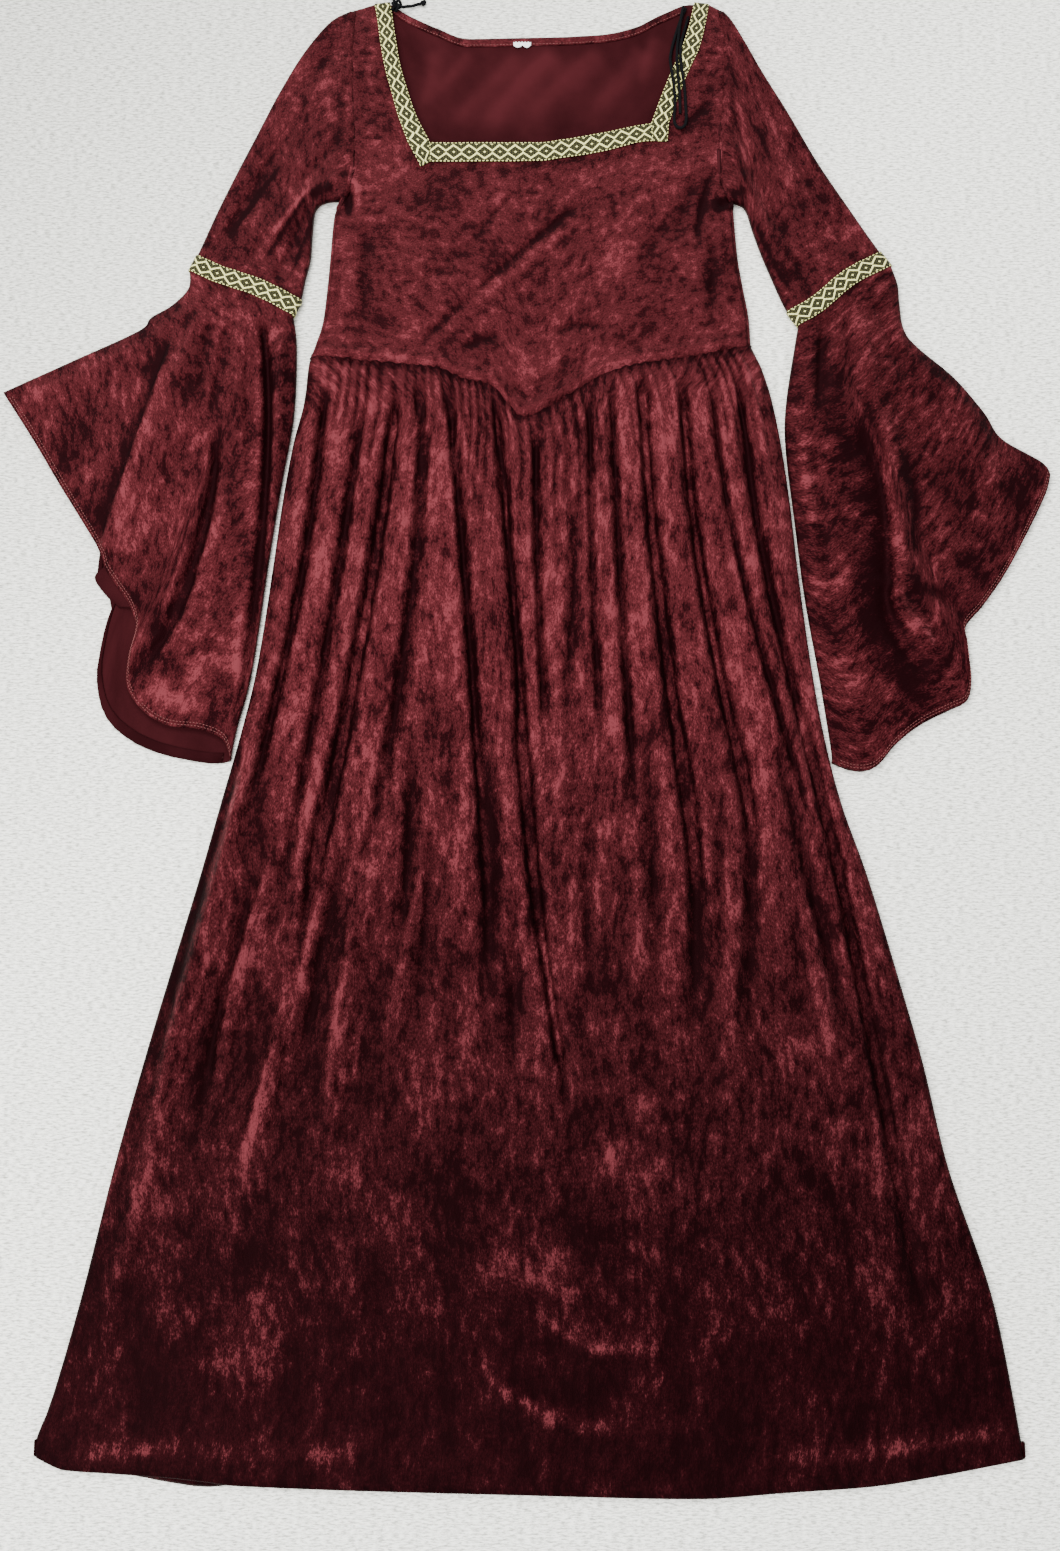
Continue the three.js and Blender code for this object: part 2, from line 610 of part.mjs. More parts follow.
bodiceBack.rows(BODICE_BACK_DOWN.map((u) => {
  const ends = [mix(WAIST_LEFT.y, SHOULDER, u), mix(WAIST_RIGHT.y, SHOULDER, u)];
  return lowerFace({
    plan: (s) => {
      const seam = waistBack(mix(WAIST_LEFT.x, WAIST_RIGHT.x, s));
      return [mix(leftSide(ends[0]), rightSide(ends[1]), s), mix(seam, backNeck(mix(-184, 198, s)), u)];
    },
    across: evenly(18),
    edge: 8,
    round: ends.map((y) => (y < UNDERARM ? 1 : 0)),
    split: GAP,
    wall: backWall,
  });
}));
add('bodice_back', bodiceBack.geometry(), VELVET);

// Neckline braid: its spots are the bodice's own, moved out by the gap and the braid's thickness
const raised = (spot, by) => {
  const [across, up] = spot.out;
  const [hx, hy] = spot.along;
  return { ...spot, x: spot.x + across * hx * by, y: spot.y + across * hy * by, z: spot.z + up * by };
};
const braid = (rows, closed) => {
  const strip = new Cloth();
  strip.rows(rows.map((row) => row.map((spot) => ({ ...raised(spot, GAP + BRAID), wall: BRAID }))), closed);
  return strip.geometry();
};
const [, braidLow] = bodiceRows;
add('neck_trim_left', braid([
  ...leftStrap.map((row) => row.slice(-2)),
  neckRow.slice(LEFT_OUTER, LEFT_INNER + 1),
  braidLow.slice(LEFT_OUTER, LEFT_INNER + 1),
]), GILT);
add('neck_trim_bottom', braid([neckRow, braidLow].map((row) => {
  const spots = row.slice(LEFT_INNER, RIGHT_INNER + 1);
  const [first, last] = [spots[0], spots.at(-1)];
  return [{ ...first, x: first.x + GAP }, ...spots.slice(1, -1), { ...last, x: last.x - GAP }];
})), GILT);
add('neck_trim_right', braid([
  ...rightStrap.map((row) => row.slice(0, 2)),
  neckRow.slice(RIGHT_INNER, RIGHT_OUTER + 1),
  braidLow.slice(RIGHT_INNER, RIGHT_OUTER + 1),
]), GILT);

// Sleeves: flattened tubes from the armhole to the cuff, where the braid covers the bell's seam
const CUFFS = {
  left: { from: [-336.5, 1163], to: [-231, 1116.5], wave: 1.5 },
  right: { from: [261, 1104], to: [354.5, 1169], wave: 2.2 },
};
const cuffPlan = ({ from, to, wave }, offset) => (s) => {
  const [dx, dy] = [to[0] - from[0], to[1] - from[1]];
  const length = Math.hypot(dx, dy);
  const down = offset + wave * Math.sin(7.5 * s);
  return [mix(from[0], to[0], s) + (dy / length) * down, mix(from[1], to[1], s) - (dx / length) * down];
};
const straight = (a, b, bulge = 0) => (s) => [
  mix(a[0], b[0], s) + bulge * Math.sin(Math.PI * s), mix(a[1], b[1], s),
];

// Each row runs from its left end to its right end, as seen from above
const SLEEVES = {
  left: {
    armhole: (s) => {
      const y = mix(SHOULDER, 1231, s);
      return [leftSide(y) - ARMHOLE_GAP, y];
    },
    rows: [
      { from: [-201, 1433], to: [-200, 1230.5], bulge: 5 },
      { from: [-228, 1400], to: [-209, 1228], bulge: 2 },
      { from: [-254, 1353], to: [-216, 1219], bulge: 0 },
      { from: [-277, 1303], to: [-218, 1195], bulge: 0 },
      { from: [-297, 1259], to: [-219, 1171], bulge: 0 },
      { from: [-316, 1215], to: [-224, 1146], bulge: 0 },
    ],
    folds: [
      { from: [-238, 1325], via: [-272, 1252], to: [-312, 1180], rise: -2.5, left: 8, right: 8 },
      { from: [-205, 1250], via: [-240, 1216], to: [-280, 1166], rise: 2.5, left: 9, right: 9, fade: [0.1, 0.3] },
      { from: [-212, 1238], via: [-231, 1200], to: [-243, 1146], rise: -3, left: 7, right: 7, fade: [0.1, 0.3] },
      { from: [-190, 1405], via: [-215, 1380], to: [-240, 1340], rise: -1.5, left: 9, right: 9 },
    ],
  },
  right: {
    armhole: (s) => {
      const y = mix(1229, SHOULDER, s);
      return [rightSide(y) + ARMHOLE_GAP, y];
    },
    rows: [
      { from: [210, 1227], to: [205.5, 1434], bulge: -2 },
      { from: [214, 1225], to: [220, 1408], bulge: 0 },
      { from: [218, 1218], to: [235, 1378], bulge: 0 },
      { from: [222, 1203], to: [262, 1329], bulge: 0 },
      { from: [229, 1180], to: [291, 1273], bulge: 0 },
      { from: [240, 1150], to: [324, 1218], bulge: 0 },
    ],
    folds: [
      { from: [236, 1352], via: [262, 1290], to: [300, 1215], rise: -2, left: 8, right: 9 },
      { from: [214, 1290], via: [238, 1230], to: [282, 1150], rise: -2.5, left: 7, right: 8 },
      { from: [212, 1262], via: [222, 1235], to: [242, 1180], rise: 2, left: 7, right: 8 },
      { from: [262, 1175], via: [272, 1150], to: [280, 1128], rise: -2, left: 6, right: 6 },
    ],
  },
};
const SLEEVE_LEVEL = 9.2;
const CUFF_LEVEL = 8.6;
const CUFF_EDGE = 8;
const cuffSection = (plan, folds) => ({
  plan,
  across: evenly(16),
  under: evenly(6),
  edge: CUFF_EDGE,
  base: CUFF_LIFT,
  top: (x, y) => CUFF_LIFT + CUFF_LEVEL + 0.4 * folds(x, y),
});
const joints = {};
for (const [side, { armhole, rows, folds }] of Object.entries(SLEEVES)) {
  const bumps = relief(folds);
  const top = (x, y) => SLEEVE_LEVEL + bumps(x, y);
  const plans = [armhole, ...rows.map(({ from, to, bulge }) => straight(from, to, bulge))];
  const tube = plans.map((plan) => ring({ plan, across: evenly(16), under: evenly(6), edge: 9, top }));
  const edgeRow = ring(cuffSection(cuffPlan(CUFFS[side], -BRAID_WIDTH / 2), bumps));
  const seamRow = ring(cuffSection(cuffPlan(CUFFS[side], -GAP / 2), bumps));
  const sleeve = new Cloth();
  sleeve.rows([...tube, edgeRow, seamRow], true);
  add(`sleeve_${side}`, sleeve.geometry(), VELVET);
  joints[side] = [edgeRow, seamRow];
}

// Bells: wide circular lower sleeves, laid flat and folded over. The left one shows its inside where
// the under layer runs on past the upper one at the lower lobe.
const BELLS = {
  left: {
    left: [[-341, 1137], [-357, 1119], [-377, 1106], [-389, 1092], [-452, 1061], [-520, 1028]],
    right: [[-231, 1074], [-232, 1003], [-242, 934], [-252, 860], [-266, 745], [-279, 688], [-284, 658]],
    hem: [[-488, 979], [-458, 930], [-419, 868], [-410, 847], [-398, 829], [-381, 808], [-374, 786],
      [-389, 750], [-388, 728], [-371, 706], [-346, 692], [-315, 688], [-292, 678]],
    below: [[-488, 979], [-458, 930], [-419, 868], [-421, 838], [-397, 809], [-412, 765], [-415, 737],
      [-406, 703], [-383, 680], [-350, 665], [-304, 656]],
    folds: [
      { from: [-356, 1090], via: [-394, 965], to: [-417, 866], rise: 4.5, left: 7, right: 45, fade: [0.15, 0.04] },
      { from: [-372, 1070], via: [-404, 965], to: [-430, 880], rise: -3.5, left: 14, right: 6, fade: [0.15, 0.1] },
      { from: [-304, 945], via: [-324, 840], to: [-364, 775], rise: -5.5, left: 10, right: 7 },
      { from: [-292, 935], via: [-310, 830], to: [-352, 768], rise: 3, left: 8, right: 16 },
      { from: [-265, 1100], via: [-261, 1020], to: [-259, 950], rise: -6, left: 9, right: 8, fade: [0.05, 0.4] },
      { from: [-247, 1090], via: [-245, 990], to: [-252, 860], rise: 3, left: 9, right: 10, fade: [0.1, 0.4] },
      { from: [-262, 900], via: [-271, 800], to: [-280, 700], rise: -4, left: 7, right: 7 },
      { from: [-376, 790], via: [-390, 738], to: [-330, 696], rise: 2.5, left: 14, right: 14, fade: [0.1, 0.1] },
      { from: [-300, 800], via: [-318, 760], to: [-322, 710], rise: 3, left: 16, right: 18 },
    ],
  },
  right: {
    left: [[262, 1074], [252, 1014], [250.5, 969], [257.5, 892], [265, 817], [277, 737], [286, 668], [286, 656]],
    right: [[367, 1141], [368, 1123], [371, 1095], [383, 1076], [419, 1043], [447, 1007], [463, 980],
      [501, 956], [509, 944]],
    hem: [[308, 648], [328, 652], [348, 674], [372, 693], [405, 710], [421, 717], [427, 733], [423, 756],
      [426, 780], [416, 792], [440, 812], [459, 841], [484, 885], [503, 923]],
    folds: [
      { from: [318, 1085], via: [357, 935], to: [355, 835], rise: 7, left: 7, right: 38, fade: [0.3, 0.1] },
      { from: [300, 1060], via: [340, 930], to: [342, 815], rise: -4, left: 22, right: 8, fade: [0.3, 0.2] },
      { from: [356, 850], via: [366, 795], to: [412, 752], rise: 5, left: 9, right: 14, fade: [0.1, 0.2] },
      { from: [344, 820], via: [358, 775], to: [392, 730], rise: -3.5, left: 9, right: 8 },
      { from: [292, 1105], via: [286, 1050], to: [282, 1000], rise: -4.5, left: 8, right: 9, fade: [0.05, 0.4] },
      { from: [325, 1110], via: [332, 1060], to: [338, 1000], rise: 2, left: 12, right: 12 },
      { from: [385, 830], via: [405, 812], to: [425, 795], rise: -3, left: 8, right: 8 },
      { from: [296, 900], via: [303, 820], to: [320, 740], rise: 2, left: 20, right: 20 },
    ],
  },
};
const BELL_DOWN = [
  { t: 0, edge: CUFF_EDGE, level: CUFF_LEVEL, base: CUFF_LIFT },
  { t: 0.09, edge: 8, level: 11, base: 0 },
  { t: 0.3, edge: 8, level: 11.5, base: 0 },
  { t: 0.6, edge: 7, level: 10, base: 0 },
  { t: 0.85, edge: 6.5, level: 8.2, base: 0 },
  { t: 1, edge: 6, level: 6.4, base: 0 },
];
const [bellEdge, bellLevel] = ['edge', 'level'].map((value) => through(BELL_DOWN, 't', value));
const BELL_ROWS = [0.09, 0.2, 0.32, 0.44, 0.56, 0.68, 0.8, 0.92, 1];
for (const [side, bell] of Object.entries(BELLS)) {
  const bumps = relief(bell.folds);
  const seam = cuffPlan(CUFFS[side], GAP / 2);
  const cuff = cuffPlan(CUFFS[side], BRAID_WIDTH / 2);
  const [left, right] = [[cuff(0), ...bell.left], [cuff(1), ...bell.right]];
  const [sideLeft, sideRight] = [outline(left), outline(right)];
  const edges = (hem) => patch(cuff, outline([left.at(-1), ...hem, right.at(-1)]), sideLeft, sideRight);
  const [over, under] = [edges(bell.hem), edges(bell.below ?? bell.hem)];
  const seamRow = ring(cuffSection(seam, bumps));
  const edgeRow = ring(cuffSection(cuff, bumps));
  const rows = BELL_ROWS.map((t) => ring({
    plan: (s) => over(s, t),
    below: { plan: (s) => under(s, t) },
    across: evenly(t > 0.75 ? 28 : 22),
    under: evenly(t > 0.75 ? 14 : 6),
    edge: bellEdge(t),
    top: (x, y) => bellLevel(t) + bumps(x, y),
  }));
  const flare = new Cloth();
  flare.rows([seamRow, edgeRow, ...rows], true);
  add(`bell_${side}`, flare.geometry(), VELVET);
  add(`sleeve_trim_${side}`, braid([...joints[side], edgeRow], true), GILT);
}

// What is left of a white label, cut off short, inside the back neck
const LABEL = { width: 18, depth: 9, thick: 0.8, x: -8, y: 1404.5 };
const label = add('label_stub', new THREE.BoxGeometry(LABEL.width, LABEL.depth, LABEL.thick), WHITE);
label.position.set(LABEL.x, LABEL.y, BAND_WALL + GAP + LABEL.thick / 2);

// Cords: a knotted tie at the left shoulder, and a loop and a loose end at the right one. Each route
// is a list of points that lie on the cloth or on the surface beside it.
const cord = (name, route) => {
  const line = new THREE.CatmullRomCurve3(route.map((point) => new THREE.Vector3(...point)));
  const section = new THREE.Shape(Array.from({ length: 8 }, (_, i) => {
    const angle = (Math.PI * i) / 4;
    return new THREE.Vector2((CORD / 2) * Math.cos(angle), (CORD / 2) * Math.sin(angle));
  }));
  const steps = Math.max(4, Math.round(line.getLength() / (2.8 * CORD)));
  cords.add(add(name, new THREE.ExtrudeGeometry(section, { steps, extrudePath: line }), BLACK));
};
const knot = (name, [x, y, z], [wide, deep, high]) => {
  const mesh = add(name, new THREE.SphereGeometry(1, 10, 7), BLACK);
  mesh.scale.set(wide, deep, high);
  mesh.position.set(x, y, z);
  cords.add(mesh);
};
knot('cord_knot_left', [-137.1, 1447.5, 7.4], [6, 7, 4.2]);
cord('cord_up_left', [
  [-140.2, 1454.4, 6.5], [-143, 1458.3, 4.7], [-147, 1463.2, 2.2], [-150, 1469, 1.9], [-150.5, 1476, 1.8],
  [-148.5, 1484, 1.8], [-147, 1492, 1.8],
]);
cord('cord_side_left', [
  [-130.65, 1446.3, 6.75], [-126.6, 1447.8, 5.4], [-121.5, 1450.2, 2.6], [-117, 1452.2, 1.9], [-113.5, 1453.2, 1.8],
]);
knot('cord_tip_left', [-109.8, 1453.8, 2.6], [3.2, 3.4, 2.5]);
cord('cord_loop_right', [
  [160.5, 1446, 4.6], [156, 1436, 4], [151, 1421, 3.9], [147, 1407, 4], [144.5, 1396, 4.3],
  [143.6, 1389, 5.4], [143.6, 1380, 9.3], [144.5, 1370, 10.9], [146, 1356, 11], [147, 1342, 10.8],
  [146.8, 1330, 10.5], [146.2, 1319, 9.4], [147.6, 1312.4, 9.3], [152.2, 1309.2, 9.3], [156.8, 1312.4, 9.4],
  [158.4, 1320, 9.6], [158, 1332, 9.7], [157.5, 1346, 10.2], [156.6, 1358, 11], [154.8, 1371, 10.9],
  [153.8, 1384, 10.9], [153.8, 1398, 10.6], [155, 1406.5, 8], [157, 1415, 5], [159.6, 1425, 4],
  [162.8, 1437, 4],
]);
cord('cord_end_right', [
  [157.5, 1446, 7.8], [156, 1438, 7.4], [153.8, 1426, 7.1], [152.4, 1414, 5.9], [151, 1402, 6.8],
  [150, 1391, 10.2], [149.9, 1377, 11.2], [150.9, 1362, 11], [151.9, 1347, 10.6], [152.2, 1334, 10],
  [152.3, 1325, 9.6],
]);

const bounds = new THREE.Box3();
gown.updateMatrixWorld(true);
gown.children.filter((mesh) => !cords.has(mesh)).forEach((mesh) => bounds.expandByObject(mesh, true));
const middle = bounds.getCenter(new THREE.Vector3());
gown.position.set(-middle.x, -middle.y, 0);

export default gown;
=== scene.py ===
"""A long gown of crushed stretch velvet, laid flat and face up on a pale surface."""

import json
import math

import bpy
import numpy as np
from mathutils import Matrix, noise

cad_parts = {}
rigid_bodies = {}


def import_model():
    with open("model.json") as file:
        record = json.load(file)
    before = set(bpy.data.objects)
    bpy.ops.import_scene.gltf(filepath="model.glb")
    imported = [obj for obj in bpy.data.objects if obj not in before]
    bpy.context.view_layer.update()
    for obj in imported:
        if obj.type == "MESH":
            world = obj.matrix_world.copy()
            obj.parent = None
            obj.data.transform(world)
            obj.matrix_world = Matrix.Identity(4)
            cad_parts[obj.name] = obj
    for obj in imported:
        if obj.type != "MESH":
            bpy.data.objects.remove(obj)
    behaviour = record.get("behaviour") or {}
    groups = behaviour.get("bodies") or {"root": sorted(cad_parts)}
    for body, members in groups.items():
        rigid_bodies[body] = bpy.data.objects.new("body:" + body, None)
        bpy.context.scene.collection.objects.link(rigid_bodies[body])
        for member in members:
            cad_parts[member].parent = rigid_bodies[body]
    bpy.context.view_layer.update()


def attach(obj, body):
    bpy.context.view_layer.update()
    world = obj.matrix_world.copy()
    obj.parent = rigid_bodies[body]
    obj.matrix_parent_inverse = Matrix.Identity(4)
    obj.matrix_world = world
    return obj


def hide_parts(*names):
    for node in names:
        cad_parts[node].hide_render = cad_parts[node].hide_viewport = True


for thing in list(bpy.data.objects):
    bpy.data.objects.remove(thing)
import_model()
bpy.ops.object.select_all(action="DESELECT")

# Camera: a 40 mm lens over the middle of the gown, leaning a little from the hem's side.
LEAN = math.radians(10.2)
AWAY = 1.637
AIM = (0.0055, -0.0801)
camera = bpy.data.cameras.new("camera")
camera.lens = 40
camera.sensor_width = 36
eye = bpy.data.objects.new("camera", camera)
bpy.context.scene.collection.objects.link(eye)
eye.location = (AIM[0], AIM[1] - AWAY * math.sin(LEAN), AWAY * math.cos(LEAN))
eye.rotation_euler = (LEAN, 0, 0)
bpy.context.scene.camera = eye

# Shoulder cords: soft black cord, 3 mm thick. The left one is tied in a knot at the shoulder, its
# two ends lying on the surface. The right ones hang inside the strap and climb over the braid.
CORD = 3.0
MIDDLE = (-5.5, 724.502)


def lay(points):
    """Millimetres from the hem's middle to metres in the gown's own frame."""
    return (np.asarray(points, float) - (*MIDDLE, 0)) / 1000


def fill(node, **sockets):
    """Sets a node's sockets, by name or by number, to values, other nodes' sockets or other nodes."""
    for key, value in sockets.items():
        spot = node.inputs[int(key[1:]) if key[0] == "_" else key.replace("_", " ")]
        if isinstance(value, bpy.types.Node):
            value = value.outputs[0]
        if isinstance(value, bpy.types.NodeSocket):
            spot.id_data.links.new(value, spot)
        else:
            spot.default_value = value


def new_material(name, **sockets):
    """A material with those values on its shader, the shader, and a maker of more nodes for it."""
    material = bpy.data.materials.new(name)
    material.use_nodes = True
    tree = material.node_tree
    shader = tree.nodes["Principled BSDF"]
    fill(shader, **sockets)

    def node(kind, settings=None, **sockets):
        made = tree.nodes.new("ShaderNode" + kind)
        for key, value in (settings or {}).items():
            setattr(made, key, value)
        fill(made, **sockets)
        return made

    return material, shader, node


def add_object(name, data):
    piece = bpy.data.objects.new(name, data)
    bpy.context.scene.collection.objects.link(piece)
    return piece


cord_black, shader, node = new_material(
    "cord_black", Base_Color=(0.0022, 0.0022, 0.0028, 1), Roughness=0.85, Specular_IOR_Level=0.08)
strands = node("TexWave", {"bands_direction": "DIAGONAL"}, Vector=node("TexCoord").outputs["Object"],
               Scale=520, Distortion=2.5, Detail=2)
fill(shader, Normal=node("Bump", Strength=0.8, Distance=0.0005, Height=strands.outputs["Fac"]))


def tie(name, replaced, route, closed=False, begins=None, **cord):
    """A length of cord along a route in millimetres."""
    curve = bpy.data.curves.new(name, "CURVE")
    curve.dimensions = "3D"
    curve.bevel_depth = CORD / 2000
    curve.bevel_resolution = 3
    curve.resolution_u = 6
    curve.use_fill_caps = True
    spline = curve.splines.new("BEZIER")
    spline.bezier_points.add(len(route) - 1)
    for spot, place in zip(spline.bezier_points, lay(route)):
        spot.co = place
        spot.handle_left_type = spot.handle_right_type = "AUTO"
    spline.use_cyclic_u = closed
    curve.materials.append(cord_black)
    piece = add_object(name, curve)
    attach(piece, "root")
    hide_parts(replaced)
    return piece


def trefoil(middle, wide, deep, high):
    """The closed line of a pulled knot of those half sizes."""
    turn = np.linspace(0, 2 * np.pi, 18, endpoint=False)
    x = np.sin(turn) + 2 * np.sin(2 * turn)
    y = np.cos(turn) - 2 * np.cos(2 * turn)
    z = -np.sin(3 * turn)
    return np.stack([x / 3 * wide, y / 3 * deep, z * high], 1) + middle


knot = tie("shoulder_knot", "cord_knot_left", trefoil((-137.1, 1447.5, 7.4), 4.5, 5.5, 2.5), closed=True)
tip = tie("cord_tip", "cord_tip_left", trefoil((-109.8, 1453.8, 2.7), 1.7, 1.9, 0.9), closed=True)
tie("knot_end_up", "cord_up_left", [
    (-137.1, 1447.5, 7.4), (-140.2, 1454.4, 6.5), (-143, 1458.3, 4.7), (-147, 1463.2, 2.2), (-150, 1469, 1.9),
    (-150.5, 1476, 1.8), (-148.5, 1484, 1.8), (-147, 1492, 1.8)],
    begins=(-139, 1450, 6.5), length=0.051, far_end="bare", with_pieces=[knot])
tie("knot_end_side", "cord_side_left", [
    (-142.5, 1442.5, 7.2), (-137.1, 1447, 7.6), (-130.65, 1446.3, 6.75), (-126.6, 1447.8, 5.4),
    (-121.5, 1450.2, 2.6), (-117, 1452.2, 1.9), (-113.5, 1453.2, 1.8), (-110, 1453.8, 2.2)],
    length=0.039, far_end="knot", with_pieces=[tip])
tie("strap_loop", "cord_loop_right", [
    (160.5, 1446, 4.6), (156, 1436, 4), (151, 1421, 3.9), (147, 1407, 4), (144.5, 1396, 4.3),
    (143.6, 1389, 5.4), (143.6, 1380, 9.3), (144.5, 1370, 10.9), (146, 1356, 11), (147, 1342, 10.8),
    (146.8, 1330, 10.5), (146.2, 1319, 9.4), (147.6, 1312.4, 9.3), (152.2, 1309.2, 9.3),
    (156.8, 1312.4, 9.4), (158.4, 1320, 9.6), (158, 1332, 9.7), (157.5, 1346, 10.2),
    (156.6, 1358, 11), (154.8, 1371, 10.9), (153.8, 1384, 10.9), (153.8, 1398, 10.6),
    (155, 1406.5, 8), (157, 1415, 5), (159.6, 1425, 4), (162.8, 1437, 4)],
    length=0.287, far_end="object")
tie("strap_end", "cord_end_right", [
    (157.5, 1446, 7.8), (156, 1438, 7.4), (153.8, 1426, 7.1), (152.4, 1414, 5.9), (151, 1402, 6.8),
    (150, 1391, 10.2), (149.9, 1377, 11.2), (150.9, 1362, 11), (151.9, 1347, 10.6), (152.2, 1334, 10),
    (152.3, 1325, 9.6)], length=0.123, far_end="bare")

# Front skirt: one flared panel of velvet, gathered by hand into the pointed waist seam. The small
# gathers run together into long folds, and the hem is turned under once.
LOW = 4.15


def smooth(x):
    x = np.clip(x, 0, 1)
    return x * x * (3 - 2 * x)


def through(table):
    """A smooth curve through a table's rows (at, value) that never swings past them."""
    at, value = np.array(sorted(table), float).T
    pitch = np.diff(value) / np.diff(at)
    both = pitch[:-1] * pitch[1:]
    inner = np.where(both > 0, 2 * both / np.where(both > 0, pitch[:-1] + pitch[1:], 1), 0)
    slope = np.concatenate([pitch[:1], inner, pitch[-1:]])

    def read(x):
        x = np.clip(np.asarray(x, float), at[0], at[-1])
        i = np.clip(np.searchsorted(at, x, side="right") - 1, 0, len(pitch) - 1)
        step = at[i + 1] - at[i]
        k = (x - at[i]) / step
        bend = (k * (1 - k) ** 2 * slope[i] - k * k * (1 - k) * slope[i + 1]) * step
        return value[i] + (value[i + 1] - value[i]) * k * k * (3 - 2 * k) + bend

    return read


def curves(table):
    """A curve through each further column of a table, read by its first."""
    return [through([(row[0], row[k]) for row in table]) for k in range(1, len(table[0]))]


def run_along(line):
    """How far along a line each of its points is."""
    return np.concatenate([[0], np.linalg.norm(np.diff(line, axis=0), axis=1).cumsum()])


def unit(vectors):
    return vectors / np.maximum(np.linalg.norm(vectors, axis=-1, keepdims=True), 1e-9)


def stretches(*parts):
    """Even steps over stretches, each given by its start, its end and its count of steps."""
    runs = [np.linspace(a, b, count, endpoint=False) for a, b, count in parts]
    return np.concatenate([*runs, [parts[-1][1]]])


def evenly(count):
    return (np.arange(count) + 0.5) / count


def relief(folds, fades=(0.25, 0.3)):
    """The height of folds, drawn downwards. Each row has x and y of the fold's start, middle and end, its
    rise, its width on the left and on the right, and the shares of its length in which it starts and
    ends, where they aren't fades."""
    made = []
    for fold in folds:
        *points, rise, left, right, fade_in, fade_out = (*fold, *fades)[:11]
        start, via, end = np.array(points, float).reshape(3, 2)
        k = np.linspace(0, 1, 15)[:, None]
        pull = 2 * via - (start + end) / 2
        line = (1 - k) ** 2 * start + 2 * k * (1 - k) * pull + k * k * end
        made.append((line, rise, left, right, fade_in, fade_out))

    def height(x, y):
        total = np.zeros(np.broadcast(x, y).shape)
        for line, rise, left, right, fade_in, fade_out in made:
            best = np.full(total.shape, np.inf)
            along, side = np.zeros(total.shape), np.zeros(total.shape)
            for i, (a, b) in enumerate(zip(line[:-1], line[1:])):
                dx, dy = b - a
                k = np.clip(((x - a[0]) * dx + (y - a[1]) * dy) / (dx * dx + dy * dy), 0, 1)
                away = np.hypot(x - a[0] - dx * k, y - a[1] - dy * k)
                nearer = away < best
                best = np.where(nearer, away, best)
                along = np.where(nearer, (i + k) / (len(line) - 1), along)
                side = np.where(nearer, dx * (y - a[1]) - dy * (x - a[0]), side)
            ends = smooth(along / fade_in) * smooth((1 - along) / fade_out)
            total += rise * ends * np.exp(-((best / np.where(side < 0, left, right)) ** 2))
        return total

    return height


def crumple(x, y, size, rise, seed):
    """Soft unevenness of about that size and height, in millimetres."""
    flat = zip(np.ravel(x) / size, np.ravel(y) / size)
    return rise * np.array([noise.noise((a, b, seed)) for a, b in flat]).reshape(np.shape(x))


def lie(plan, across, top=None, edge=8.0, base=0.0, rolled=(1, 1), exact=False):
    """One row of cloth as it lies, from left to right: a quarter roll at each rolled end, and the run
    across, which follows its top or, with none, lies flat on its base."""
    line = plan(np.linspace(0, 1, 41))
    length = np.hypot(*np.diff(line, axis=1)).sum()
    radius = edge / 2
    inset = radius / length
    turn = np.linspace(0, np.pi / 2, 5)
    start = inset * (1 - np.cos(turn))
    run = across if exact else inset + (1 - 2 * inset) * across
    s = np.concatenate([start, run, 1 - start[::-1]])
    x, y = plan(s)
    if top is None:
        level = np.full(s.shape, base)
    else:
        blend = smooth(np.minimum(s * length / 20 + 1 - rolled[0], (1 - s) * length / 20 + 1 - rolled[1]))
        high = np.maximum(top(x, y, s), base + LOW)
        level = base + edge + (high - base - edge) * blend
    sign = -1 if top is None else 1
    roll = base + radius + sign * radius * np.sin(turn)
    z = level.copy()
    z[:5] += (roll - z[:5]) * rolled[0]
    z[-5:] += (roll[::-1] - z[-5:]) * rolled[1]
    return np.stack([x, y, z], 1)


def fold_shading(grid, closed=False):
    """How far each point stands over its neighbours along the row: valleys below 0, ridges above; in the
    colour it is painted shade in the valleys and painted highlight on the ridges. The layer that lies on the
    table is left out."""
    spacing = np.linalg.norm(np.diff(grid, axis=1), axis=2).mean()
    reach = int(min(3 * 15 / spacing, grid.shape[1] / 2 - 1))
    weight = np.exp(-((np.arange(-reach, reach + 1) * spacing / 15) ** 2) / 2)
    upper = smooth((grid[:, :, 2] - 3.5) / 3)
    mode = "wrap" if closed else "reflect"
    high = np.pad(grid[:, :, 2] * upper, ((0, 0), (reach, reach)), mode=mode)
    share = np.pad(upper, ((0, 0), (reach, reach)), mode=mode)
    local = np.stack([np.convolve(a, weight, "valid") / np.maximum(np.convolve(b, weight, "valid"), 1e-3)
                      for a, b in zip(high, share)])
    return np.clip((grid[:, :, 2] - local) / 2.6, -2.2, 0.6) * upper


